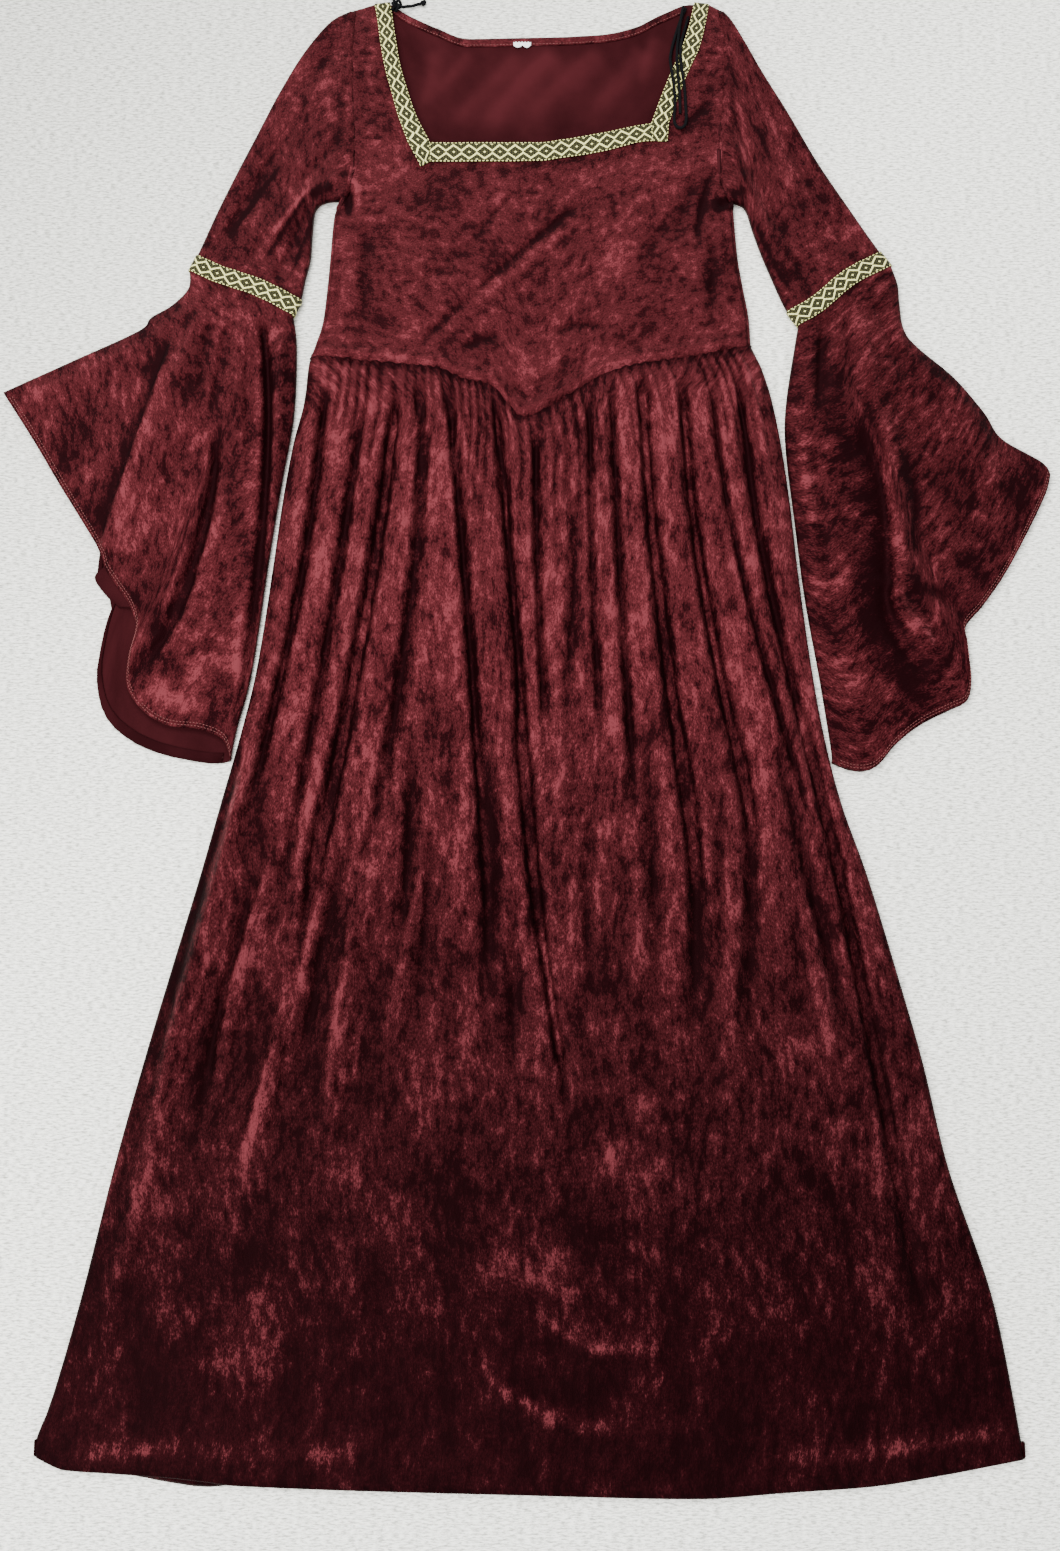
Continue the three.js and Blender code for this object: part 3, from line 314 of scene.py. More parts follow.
def cloth(name, grids, outside, inside, closed=False, wall=1.4, uv=None, strokes_and_shade=None, tone_and_shading=fold_shading):
    """A shell of cloth over grids of points in millimetres, with its wall on the inner side. Its UV map is
    uv, or the cloth's own width and length in metres; the strokes it is given say where its pile is stroked
    dark or pale and where shadow or highlight is painted on it."""
    points, faces, marks, folds = [], [], [], []
    first = 0
    for index, grid in enumerate(grids):
        rows, columns = grid.shape[:2]
        ring = np.concatenate([grid, grid[:, :1]], 1) if closed else grid
        u = np.concatenate([np.zeros((rows, 1)), np.linalg.norm(np.diff(ring, axis=1), axis=2).cumsum(1)], 1)
        step = np.linalg.norm(np.diff(ring, axis=0), axis=2).mean(1)
        v = -np.concatenate([[0], step.cumsum()])[:, None] + np.zeros_like(u)
        u = u - u[:, columns // 2][:, None]
        own = np.stack([u, v], 2) / 1000 if uv is None else uv[index]
        r, c = np.mgrid[0:rows - 1, 0:ring.shape[1] - 1]
        right = (c + 1) % columns
        quads = np.stack([r * columns + c, (r + 1) * columns + c, (r + 1) * columns + right,
                          r * columns + right], 2)
        faces.append(quads.reshape(-1, 4) + first)
        corners = np.stack([own[r, c], own[r + 1, c], own[r + 1, c + 1], own[r, c + 1]], 2)
        marks.append(corners.reshape(-1, 2))
        points.append(lay(grid.reshape(-1, 3)))
        # Painted shade and highlight: fold valleys, seams and gaps are darkened and ridges lightened in this
        # value, besides the pile's own dark and pale strokes.
        tone_and_shade = tone_and_shading(grid, closed)
        if strokes_and_shade:
            tone_and_shade = tone_and_shade + strokes_and_shade(grid[:, :, 0], grid[:, :, 1]) * (grid[:, :, 2] > 4)
        folds.append(tone_and_shade.ravel())
        first += rows * columns
    mesh = bpy.data.meshes.new(name)
    mesh.from_pydata(np.concatenate(points).tolist(), [], np.concatenate(faces).tolist())
    layer = mesh.uv_layers.new(name="cut")
    layer.data.foreach_set("uv", np.concatenate(marks).astype(np.float32).ravel())
    fold = mesh.attributes.new("fold", "FLOAT", "POINT")
    fold.data.foreach_set("value", np.concatenate(folds).astype(np.float32))
    mesh.materials.append(outside)
    mesh.materials.append(inside)
    piece = add_object(name, mesh)
    bpy.ops.object.select_all(action="DESELECT")
    piece.select_set(True)
    bpy.context.view_layer.objects.active = piece
    bpy.ops.object.mode_set(mode="EDIT")
    bpy.ops.mesh.select_all(action="SELECT")
    bpy.ops.mesh.remove_doubles(threshold=0.00002)
    bpy.ops.object.mode_set(mode="OBJECT")
    thick = piece.modifiers.new("wall", "SOLIDIFY")
    thick.thickness = wall / 1000
    thick.offset = -1
    thick.material_offset = 1
    thick.material_offset_rim = 0
    bpy.ops.object.modifier_apply(modifier="wall")
    at = np.empty(len(piece.data.vertices) * 3, np.float32)
    piece.data.vertices.foreach_get("co", at)
    at[2::3] = np.maximum(at[2::3], 0)
    piece.data.vertices.foreach_set("co", at)
    bpy.ops.object.shade_smooth()
    bpy.ops.object.select_all(action="DESELECT")
    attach(piece, "root")
    return piece


# The velvet: a short shiny pile that lies every way, so patches of it look pale, deep or nearly black.
# On the lower skirt, where the pile points away, its colour is deepened as painted shade; fold valleys get
# painted shade and ridges a painted highlight.
CRUSHED = (  # how raised, colour
    (0.00, (0.0034, 0.0004, 0.0007)), (0.20, (0.0110, 0.0012, 0.0019)), (0.38, (0.0235, 0.0034, 0.0042)),
    (0.52, (0.0350, 0.0053, 0.0065)), (0.68, (0.0490, 0.0080, 0.0098)), (0.84, (0.0740, 0.0126, 0.0155)),
    (1.00, (0.1150, 0.0225, 0.0270)))
# Painted shade: the same velvet's tones, deepened for the lower skirt.
SHADED_TONES = (
    (0.00, (0.0013, 0.0002, 0.0003)), (0.30, (0.0023, 0.0003, 0.0005)), (0.50, (0.0044, 0.0005, 0.0008)),
    (0.66, (0.0076, 0.0009, 0.0014)), (0.82, (0.0115, 0.0014, 0.0020)), (1.00, (0.0200, 0.0030, 0.0040)),
    (1.30, (0.0850, 0.0160, 0.0190)))


def velvet(name, seed, streak=(1, 1), contrast=1.0, middle=0.5, painted_shade_span=None):
    """Crushed velvet with its patches drawn out by streak. Towards the hem it goes over to deepened tones as
    painted shade, between the two heights given for that, in metres along the gown."""
    material, shader, node = new_material(
        name, Roughness=0.5, Specular_IOR_Level=0.06, Specular_Tint=(0.85, 0.20, 0.25, 1), Sheen_Weight=0.012,
        Sheen_Roughness=0.4, Sheen_Tint=(0.9, 0.25, 0.30, 1))
    where = node("Mapping", Vector=node("UVMap", {"uv_map": "cut"}), Scale=(*streak, 1),
                 Location=(seed * 1.37, seed * 0.71, 0))
    patch = node("TexNoise", Vector=where, Scale=17, Detail=5, Roughness=0.65, Distortion=0.3)
    fleck = node("TexNoise", Vector=where, Scale=95, Detail=7, Roughness=0.70, Distortion=0.12)
    pile = node("TexNoise", Vector=where, Scale=620, Detail=3, Roughness=0.7)
    painted_fold_shade = node("Attribute", {"attribute_name": "fold"}).outputs["Fac"]

    def blend(start, *parts):
        for source, share in parts:
            start = node("Math", {"operation": "MULTIPLY_ADD"}, _0=source, _1=share, _2=start)
        return start

    def within(source, first, last, value):
        return node("MapRange", Value=source, From_Min=first, From_Max=last, To_Min=0.0, To_Max=value)

    # The fold attribute adds painted shade and highlight from folds, seams and underarms, besides the pile's
    # own strokes; the glints are painted highlights.
    lying = blend(-0.275, (fleck, 1.0), (patch, 0.55), (painted_fold_shade, 0.045))
    spots = within(lying, 0.470, 0.405, 0.26 * contrast)
    glints = within(lying, 0.545, 0.640, 0.24 * contrast)
    total = blend(middle + 0.02 - contrast * (0.7 + 0.5 + 1.5) / 2, (patch, 0.7 * contrast),
                  (fleck, 0.5 * contrast), (pile, 1.5 * contrast), (painted_fold_shade, 0.23), (spots, -1.0),
                  (glints, 1.0))

    def ramp(stops):
        last = stops[-1][0]
        made = node("ValToRGB", Fac=node("Math", {"operation": "DIVIDE"}, _0=total, _1=last))
        band = made.color_ramp
        while len(band.elements) < len(stops):
            band.elements.new(0.5)
        for element, (place, colour) in zip(band.elements, stops):
            element.position = place / last
            element.color = (*colour, 1)
        return made

    colour = ramp(CRUSHED)
    # Painted shade: towards the hem the colour goes over to the deepened tones.
    if painted_shade_span:
        split = node("SeparateXYZ", Vector=node("TexCoord").outputs["Object"])
        spread = blend(split.outputs["Y"], (total, 0.30))
        share = node("MapRange", Value=spread, From_Min=painted_shade_span[0] + 0.15, From_Max=painted_shade_span[1] + 0.15,
                     To_Min=1.0, To_Max=0.0)
        colour = node("Mix", {"data_type": "RGBA"}, Factor=share, _6=colour, _7=ramp(SHADED_TONES)).outputs[2]
    soft = node("Bump", Strength=0.7, Distance=0.0016, Height=fleck)
    fine = node("Bump", Strength=0.5, Distance=0.0005, Height=pile, Normal=soft)
    fill(shader, Base_Color=colour, Normal=fine)
    return material


def two_tones(node, source, dark, pale, ends=(0, 1)):
    """A colour between a dark and a pale one, by a source that runs from one end to the other."""
    made = node("ValToRGB", Fac=source)
    for element, colour, place in zip(made.color_ramp.elements, (dark, pale), ends):
        element.color = (*colour, 1)
        element.position = place
    return made


inside, shader, node = new_material("knit_back", Roughness=0.9, Specular_IOR_Level=0.02, Sheen_Weight=0.01,
                                    Sheen_Tint=(0.9, 0.3, 0.35, 1))
cut = node("UVMap", {"uv_map": "cut"})
cloudy = node("TexNoise", Vector=cut, Scale=14, Detail=4, Roughness=0.6)
knit = node("TexNoise", Vector=cut, Scale=900, Detail=2)
# Painted light and shade: the fold attribute lightens the knit on fold ridges and darkens it in valleys.
painted_fold_shade = node("Attribute", {"attribute_name": "fold"})
lit = node("Math", {"operation": "MULTIPLY_ADD"}, _0=painted_fold_shade.outputs["Fac"], _1=0.30,
           _2=node("Mix", Factor=0.25, A=cloudy, B=knit))
tone = two_tones(node, lit, (0.0120, 0.0016, 0.0023), (0.0400, 0.0066, 0.0085), (0.25, 0.85))
fill(shader, Base_Color=tone, Normal=node("Bump", Strength=0.3, Distance=0.0003, Height=knit))

SIDES = (  # y, left, right
    (28, -436, 437), (37, -439, 436), (75, -427, 431), (160, -405, 417), (288, -377, 379), (377, -355, 361),
    (460, -333, 340), (549, -309, 316), (621, -291, 293), (680, -276, 280), (746, -262, 270),
    (847, -249, 259), (916, -241, 253), (975, -232, 246), (1021, -222, 238), (1056, -219, 228),
    (1076, -213, 219), (1101, -206, 218), (1141, -202, 212), (1170, -200, 208), (1214, -197, 205),
    (1230, -191, 204), (1240, -186, 199), (1255, -183, 195), (1279, -181, 194), (1335, -182, 199),
    (1391, -185, 202), (1442, -184, 198))
WAIST = (  # x, front, back
    (-219, 1063, 1063), (-211, 1065, 1062), (-168, 1060, 1058), (-91, 1052, 1054), (-70, 1042, 1053),
    (-40, 1034, 1052), (-7, 1001, 1052), (15, 1010, 1053), (45, 1029, 1055), (75, 1047, 1057),
    (106, 1056, 1060), (152, 1063, 1065), (219, 1076, 1076))
HEM = (  # x, front, back
    (-436, 32, 32), (-409, 21, 21), (-365, 18, 18), (-311, 14, 9), (-284, 11, 6), (-259, 8, 8), (0, 0, 0),
    (149, -3, -3), (224, 2, 2), (299, 7, 7), (360, 16, 16), (437, 30, 30))
left_side, right_side = curves(SIDES)
waist_front, waist_back = curves(WAIST)
hem_front, hem_back = curves(HEM)
WAIST_LEFT, WAIST_RIGHT = (-219, 1063), (219, 1076)
HEM_LEFT, HEM_RIGHT = (-436, 32), (437, 30)


def mix(a, b, k):
    return a + (b - a) * k


def skirt_plan(waist, hem, t, below=0.2):
    """The line across the skirt at a share t of its length."""
    y_left, y_right = mix(WAIST_LEFT[1], HEM_LEFT[1], t), mix(WAIST_RIGHT[1], HEM_RIGHT[1], t)

    def plan(s):
        seam = waist(mix(WAIST_LEFT[0], WAIST_RIGHT[0], s)) - below
        end = hem(mix(HEM_LEFT[0], HEM_RIGHT[0], s))
        return np.stack([mix(left_side(y_left), right_side(y_right), s), mix(seam, end, t)])

    return plan


SKIRT_DOWN = (  # t, edge, level, gather
    (0, 8, 8.4, 1.4), (0.02, 8, 12, 2.2), (0.06, 8.5, 14, 2.1), (0.12, 9, 14.5, 1.3), (0.2, 9, 14, 0.4),
    (0.3, 9, 13.5, 0), (0.5, 8.5, 12, 0), (0.75, 8, 9.5, 0), (0.92, 7, 7.4, 0), (1, 6, 5.8, 0))
skirt_edge, skirt_level, skirt_gather = curves(SKIRT_DOWN)
skirt_folds = relief([
    (-203, 1040, -222, 831, -282, 543, -7, 5, 6, 0.12, 0.25),
    (-166, 1020, -190, 807, -238, 495, -6, 5, 6, 0.12, 0.25),
    (-131, 1030, -160, 785, -232, 386, -10, 8, 6, 0.1, 0.25),
    (-113, 1046, -113, 832, -168, 482, -6, 6, 9, 0.1, 0.25),
    (-84, 1042, -61, 809, -36, 434, -7, 4, 6, 0.1, 0.25),
    (-36, 1026, -15, 801, 10, 438, -8, 5, 6, 0.1, 0.25), (-16, 740, 8, 520, 38, 320, -7, 6, 4, 0.2, 0.2),
    (7, 990, 7, 849, 17, 624, -6, 4, 5, 0.12, 0.25), (40, 930, 44, 850, 30, 650, -4.5, 6, 6, 0.3, 0.35),
    (60, 1030, 59, 869, 70, 644, -5, 4, 5, 0.12, 0.25),
    (81, 1043, 86, 856, 104, 531, -6, 5, 5, 0.12, 0.25),
    (112, 1048, 124, 832, 166, 482, -10, 7, 6, 0.1, 0.25),
    (140, 700, 153, 560, 146, 380, -5.5, 6, 8, 0.2, 0.35),
    (152, 1050, 166, 839, 223, 539, -9, 6, 6, 0.1, 0.25),
    (181, 1050, 206, 836, 291, 511, -5, 4, 4, 0.1, 0.25),
    (206, 1052, 230, 832, 308, 482, -7, 5, 6, 0.1, 0.25), (-252, 790, -272, 680, -316, 480, -6, 7, 6),
    (254, 740, 306, 450, 352, 150, -9, 5, 5, 0.2, 0.15),
    (230, 680, 262, 540, 292, 380, -5, 6, 8, 0.25, 0.35),
    (196, 720, 206, 560, 196, 400, -5, 7, 8, 0.25, 0.35),
    (100, 700, 114, 590, 112, 440, -4.5, 7, 9, 0.3, 0.35),
    (172, 640, 178, 540, 176, 440, -3.5, 6, 7, 0.3, 0.35),
    (-262, 700, -300, 540, -352, 300, 5, 4, 16, 0.15, 0.25), (-235, 580, -270, 460, -296, 330, 5, 5, 9),
    (-208, 600, -226, 440, -262, 260, 5.5, 5, 9), (-146, 580, -172, 440, -186, 290, 5.5, 7, 10),
    (-100, 560, -120, 460, -136, 390, 4, 4, 8), (-58, 660, -66, 560, -80, 480, 4, 6, 9),
    (-196, 640, -216, 500, -240, 360, -4.5, 7, 6, 0.25, 0.35),
    (-250, 560, -284, 420, -300, 300, -4, 8, 6, 0.25, 0.35),
    (-160, 640, -192, 480, -212, 340, -4, 8, 8, 0.3, 0.35),
    (-120, 700, -112, 600, -124, 460, -5, 7, 9, 0.3, 0.35),
    (-92, 620, -96, 520, -106, 400, -3.5, 7, 7, 0.3, 0.35),
    (-44, 700, -36, 580, -42, 420, -5, 8, 9, 0.3, 0.35),
    (-60, 450, -56, 420, -66, 330, 3.5, 5, 8, 0.3, 0.3),
    (-16, 520, -14, 440, -22, 340, -3.5, 8, 7, 0.3, 0.35),
    (98, 570, 100, 500, 94, 420, 3.5, 6, 9, 0.25, 0.35), (188, 590, 182, 443, 181, 310, 3.5, 8, 12),
    (60, 640, 52, 530, 58, 430, -4, 7, 8, 0.3, 0.35), (32, 700, 28, 620, 34, 560, 3, 7, 7, 0.3, 0.35),
    (224, 600, 232, 520, 240, 430, 3, 7, 9, 0.3, 0.35), (252, 520, 265, 460, 278, 380, 3.5, 7, 10),
    (-262, 700, -313, 440, -392, 100, 3, 8, 14, 0.15, 0.25),
    (31, 137, 76, 125, 127, 126, 3.5, 9, 14, 0.3, 0.3), (-42, 112, 9, 66, 98, 61, 3, 8, 13, 0.3, 0.3),
    (-330, 120, -290, 80, -240, 40, 1.5, 22, 22)])
# Strokes on the skirt: pale and dark pile, with painted highlights along fold ridges and the hem and painted
# shade in some valleys.
skirt_pile_and_shade = relief([
    (20, 148, 50, 126, 130, 121, 2.2, 3, 4, 0.15, 0.4), (24, 152, 70, 134, 140, 134, 1.1, 8, 7, 0.2, 0.4),
    (-46, 118, -8, 80, 84, 60, 1.8, 3, 4, 0.12, 0.5), (-20, 92, 40, 58, 140, 70, 1, 7, 8, 0.3, 0.4),
    (-300, 190, -270, 130, -250, 80, 1.1, 26, 34, 0.3, 0.3),
    (100, 290, 135, 262, 165, 240, 1, 14, 20, 0.3, 0.3),
    (-410, 30, -350, 36, -290, 40, 1.6, 6, 8, 0.2, 0.3), (-20, 104, 30, 84, 110, 92, -1, 12, 14, 0.2, 0.3),
    (-60, 200, 0, 190, 60, 200, 0.9, 18, 22, 0.3, 0.3), (-270, 560, -300, 440, -330, 330, 0.4, 6, 9),
    (-172, 470, -181, 400, -190, 330, 0.9, 3, 4), (-236, 400, -252, 330, -272, 250, 1.6, 3, 5),
    (-196, 560, -208, 480, -214, 420, 1, 3, 4), (-150, 440, -158, 390, -163, 330, 1.4, 3, 3),
    (8, 500, 22, 430, 36, 330, 1.2, 3, 4, 0.2, 0.3), (64, 330, 70, 300, 78, 270, 1.2, 6, 6, 0.3, 0.3),
    (-60, 300, -52, 280, -40, 264, 1, 7, 8, 0.3, 0.3), (-290, 40, -210, 32, -110, 40, 1, 8, 14, 0.2, 0.3),
    (205, 28, 310, 36, 425, 52, 1.5, 5, 12, 0.4, 0.1),
    (-40, 700, -36, 560, -40, 420, -0.7, 14, 12, 0.3, 0.3),
    (-60, 880, -56, 780, -50, 700, -0.4, 14, 20, 0.3, 0.3),
    (150, 640, 150, 520, 150, 400, -0.5, 12, 12, 0.3, 0.3)])
GATHERS = 46
chance = np.random.default_rng(7)
gather_size = chance.uniform(0.3, 1.2, GATHERS + 4)
gather_end = chance.uniform(0.05, 0.26, GATHERS + 4)


def gathers(s, t):
    """Puffed ridges with narrow valleys between them, each of its own height and length."""
    phase = GATHERS * s + 0.42 * np.sin(19 * s) + 0.2 * np.sin(47 * s + 1) - 0.2 * np.sin(1)
    which = np.floor(phase + 0.5).astype(int) + 1
    fade = smooth((gather_end[which] - t) / 0.09 + 0.4)
    return skirt_gather(t) * gather_size[which] * fade * (2 * np.abs(np.cos(np.pi * phase)) ** 0.8 - 1)


def skirt_top(t):
    def top(x, y, s):
        soft = crumple(x, y, 38, 1.1, 3) + crumple(x, y, 13, 0.5, 8)
        soft = soft * min(1, 4 * t, 12 * (1 - t) + 0.3)
        return skirt_level(t) + gathers(s, t) + 1.2 * skirt_folds(x, y) + soft

    return top


across = evenly(288)
down = stretches((0, 0.06, 12), (0.06, 0.2, 17), (0.2, 0.94, 83), (0.94, 1, 10))
rows = [lie(skirt_plan(waist_front, hem_front, t), across, skirt_top(t), skirt_edge(t)) for t in down]
tucked = rows[0] + (0, 5, -2.4)
turned = [rows[-1] + (0, up, high) for up, high in ((-1.0, -0.8), (-0.9, -2.2), (1.5, -2.9), (14, -2.7))]
velvet_skirt = velvet("velvet_skirt", 1, (1.35, 0.56), contrast=1.12, middle=0.51, painted_shade_span=(-0.54, 0.08))
# The dark line just under the waist seam is a painted shadow of the bodice's rolled edge.
skirt_front = cloth(
    "front_skirt", [np.stack([tucked, *rows, *turned])], velvet_skirt, inside,
    strokes_and_shade=lambda x, y: skirt_pile_and_shade(x, y) - 1.8 * np.exp(-(((waist_front(x) - y - 2) / 4) ** 2)))
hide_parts("skirt_front")

# Back skirt: the same flare, cut plain, lying flat under the front and joined to it down both sides.
across = evenly(60)
down = np.linspace(0, 1, 61)
rows = [lie(skirt_plan(waist_back, hem_back, t), across, None, skirt_edge(t))[::-1] for t in down]
turned = [rows[-1] + (0, up, high) for up, high in ((-0.7, 0.9), (1.5, 2.6), (14, 2.6))]
skirt_back = cloth("back_skirt", [np.stack([*rows, *turned])], velvet_skirt, inside)
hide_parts("skirt_back")

# Front bodice: plain fitted front with a square neck and two shoulder straps, its lower edge
# rolled over the gathers of the skirt. Fine diagonal creases cross it under the neck.
NECK = (  # x, lower and upper edge of the braid
    (-184, 1262, 1298), (-124, 1267, 1296), (-110, 1268, 1295), (-100, 1273, 1294), (10, 1274, 1294),
    (31, 1277, 1297), (71, 1284, 1304), (124, 1296, 1315), (141, 1295, 1316), (200, 1297, 1318))
neck_lower, neck_upper = curves(NECK)
NECK_LEFT, NECK_RIGHT = (-182, 1298), (196, 1318)
SHOULDER, ARMPIT = 1442, 1222
BODICE_COLUMNS = (  # x at the waist, at the braid's lower edge and at the neck, spans to the next
    (-219, -181.5, -181, 26), (-128, -110, -124, 5), (-116, -100, -101, 80), (133, 125, 123, 5),
    (150, 140, 141, 22), (219, 196, 197.5, 0))


def column_shares(level):
    at = [row[level] for row in BODICE_COLUMNS]
    shares = [np.linspace(a, b, row[3], endpoint=False) for a, b, row in zip(at, at[1:], BODICE_COLUMNS)]
    return (np.concatenate(shares)[1:] - at[0]) / (at[-1] - at[0])


shares = [column_shares(level) for level in range(3)]
bodice_level = through(((990, 9.5), (1060, 9.8), (1150, 10.5), (1220, 9.5), (1262, 7.6), (1290, 6.6),
                        (1400, 6.6), (1430, 6), (1446, 4.7)))
bodice_folds = relief([
    (62, 1236, 0, 1184, -66, 1122, -2.2, 2.6, 3.4, 0.25, 0.2),
    (-58, 1128, -88, 1100, -114, 1072, -2, 2.6, 3.4, 0.2, 0.3), (66, 1226, 6, 1174, -80, 1098, 1, 4, 6),
    (-12, 1244, -38, 1214, -58, 1184, -1.3, 3, 4),
    (-40, 1206, -80, 1164, -112, 1140, -1.2, 8, 8, 0.3, 0.3),
    (-72, 1070, -48, 1080, -22, 1088, -2.2, 4, 5), (24, 1084, 48, 1097, 82, 1090, -2.2, 4, 4),
    (190, 1272, 171, 1215, 168, 1176, -2.8, 4, 4, 0.2, 0.3), (180, 1200, 182, 1150, 174, 1090, -3.2, 5, 6),
    (166, 1262, 154, 1220, 140, 1180, -2, 5, 6), (206, 1238, 196, 1228, 188, 1224, -4, 4, 4, 0.2, 0.3),
    (-200, 1240, -184, 1240, -184, 1208, -3.6, 3.4, 4, 0.2, 0.25),
    (-200, 1248, -176, 1248, -176, 1210, 2.2, 4, 4, 0.2, 0.3),
    (-163, 1212, -165, 1150, -162, 1085, -2.2, 6, 6),
    (-190, 1190, -192, 1150, -194, 1110, -1.6, 4, 5, 0.3, 0.3), (-20, 1075, -7, 1058, -8, 1020, 2, 9, 9),
    (-22, 1040, -8, 1024, -2, 1010, -1.6, 3, 3, 0.2, 0.3),
    (12, 1050, 8, 1030, 2, 1012, -1.5, 3, 3, 0.2, 0.3),
    (196, 1300, 188, 1262, 176, 1222, 1.8, 4, 5, 0.2, 0.3),
    (118, 1120, 128, 1140, 132, 1160, -1.4, 4, 4, 0.3, 0.3),
    (120, 1290, 100, 1262, 70, 1235, 1.2, 6, 8, 0.3, 0.3),
    (150, 1240, 128, 1190, 96, 1150, -1.2, 5, 7, 0.3, 0.3),
    (175, 1400, 181, 1360, 176, 1320, -1.3, 5, 6, 0.3, 0.3),
    (150, 1318, 168, 1322, 186, 1350, -1.6, 5, 6, 0.3, 0.3),
    (-168, 1410, -170, 1360, -160, 1310, -1.2, 5, 6, 0.3, 0.3)])
# Strokes on the bodice: painted shadows in the underarm gaps and along the creases, painted highlights beside
# them, and pale and dark pile.
bodice_pile_and_shade = relief([
    (184, 1224, 196, 1226, 210, 1230, -7, 5, 5, 0.06, 0.02),
    (-197, 1238, -184, 1236, -183, 1208, -3.6, 3, 3.4, 0.15, 0.2),
    (-200, 1248, -175, 1248, -175, 1210, 0.8, 3, 3, 0.2, 0.2),
    (60, 1234, 0, 1182, -70, 1118, -1.2, 2, 2.4, 0.25, 0.2), (68, 1226, 8, 1172, -82, 1096, 0.5, 2.4, 3),
    (-60, 1124, -88, 1098, -112, 1072, -1.2, 2, 2.4, 0.2, 0.3),
    (-14, 1242, -36, 1216, -56, 1186, -0.8, 2, 2.4), (-72, 1070, -50, 1079, -26, 1086, -0.9, 3, 4),
    (26, 1084, 48, 1096, 80, 1090, -0.8, 4, 3), (-86, 1276, 20, 1272, 120, 1290, -0.6, 7, 9, 0.1, 0.1),
    (182, 1264, 170, 1214, 169, 1176, -1.1, 3, 4, 0.2, 0.3),
    (60, 1180, 90, 1160, 130, 1160, 0.4, 20, 24, 0.3, 0.3),
    (-110, 1230, -120, 1200, -100, 1180, 0.35, 22, 22, 0.3, 0.3),
    (-170, 1060, -120, 1056, -60, 1046, 0.6, 6, 10, 0.2, 0.3),
    (40, 1046, 90, 1062, 160, 1074, 0.4, 8, 8, 0.2, 0.3),
    (150, 1318, 166, 1318, 186, 1344, -0.8, 7, 8, 0.3, 0.3)])


def bodice_top(above):
    seam = 2.2 * np.exp(-(((above - 6) / 5) ** 2)) - 1.6 * np.exp(-((above / 3) ** 2))

    def top(x, y, s=None):
        outward = 1.6 * smooth((np.abs(x) - 130) / 45) * smooth((y - 1225) / 50) * smooth((1440 - y) / 30)
        soft = crumple(x, y, 30, 0.9, 5) + crumple(x, y, 11, 0.35, 2)
        return bodice_level(y) + outward + seam + bodice_folds(x, y) + soft

    return top


def bodice_row(t):
    """A row of the bodice's body, from the waist seam (0) to the braid's lower edge (1)."""
    blend = mix(shares[0], shares[1], t)
    ends = [mix(side[1], neck_lower(end[0]), t)
            for side, end in ((WAIST_LEFT, NECK_LEFT), (WAIST_RIGHT, NECK_RIGHT))]

    def plan(s):
        x = mix(left_side(ends[0]), right_side(ends[1]), s)
        return np.stack([x, mix(waist_front(mix(WAIST_LEFT[0], WAIST_RIGHT[0], s)), neck_lower(x), t)])

    rolled = [1.0 if y < ARMPIT else 0.0 for y in ends]
    return lie(plan, blend, bodice_top(t * 190), 8, rolled=rolled, exact=True)


def neck_row(k):
    """A row inside the braid's width, from its lower edge (0) to the neck edge (1)."""
    ends = [mix(neck_lower(x), y, k) for x, y in (NECK_LEFT, NECK_RIGHT)]

    def plan(s):
        x = mix(left_side(ends[0]), right_side(ends[1]), s)
        return np.stack([x, mix(neck_lower(x), neck_upper(x), k)])

    return lie(plan, mix(shares[1], shares[2], k), bodice_top(200), 8, rolled=(0, 0), exact=True)


body_rows = [bodice_row(t) for t in stretches((0, 0.08, 10), (0.08, 1, 83))]
band_rows = [neck_row(k) for k in np.linspace(0, 1, 7)[1:]]
LEFT_OUTER = 4 + BODICE_COLUMNS[0][3]
LEFT_INNER = LEFT_OUTER + BODICE_COLUMNS[1][3]
RIGHT_INNER = LEFT_INNER + BODICE_COLUMNS[2][3]
RIGHT_OUTER = RIGHT_INNER + BODICE_COLUMNS[3][3]
LEFT_STRAP = (  # x and y of each row at the arm, at the braid's outer edge and at its inner edge
    ((-181.0, 1298), (-124, 1296), (-101, 1294)), ((-181.6, 1322), (-134, 1324), (-116, 1325)),
    ((-183, 1350), (-141, 1350), (-124.5, 1351)), ((-184.6, 1380), (-149, 1381), (-133, 1382)),
    ((-184.9, 1408), (-154, 1411), (-138, 1412)), ((-184.5, 1428), (-157, 1434), (-141.5, 1436)),
    ((-184, 1442), (-160, 1450), (-144, 1452)))
RIGHT_STRAP = (
    ((197.5, 1318), (141, 1316), (123, 1315)), ((199.7, 1343), (149, 1339), (131, 1338)),
    ((201.3, 1370), (161, 1371), (143.5, 1371)), ((202, 1398), (173.5, 1400), (156, 1401)),
    ((200.6, 1421), (180, 1427), (164, 1428)), ((198, 1442), (184, 1450), (169, 1452)))


def strap(table, base_row, arm, outer, inner, steps):
    """Rows of a shoulder strap, over the neck row's own columns."""
    reads = curves([(i, *sum(row, ())) for i, row in enumerate(table)])
    x = base_row[:, 0]
    side = (x - x[arm]) / (x[outer] - x[arm])
    trim = (x - x[outer]) / (x[inner] - x[outer])
    on_trim = (trim > 0)[:, None]
    grid = []
    for k in np.linspace(0, len(table) - 1, steps)[1:]:
        a, b, c = np.array([read(k) for read in reads]).reshape(3, 2)
        flat = np.where(on_trim, b + (c - b) * trim[:, None], a + (b - a) * side[:, None])
        grid.append(np.column_stack([flat, bodice_top(300)(flat[:, 0], flat[:, 1])]))
    return np.stack([base_row, *grid])[::-1]


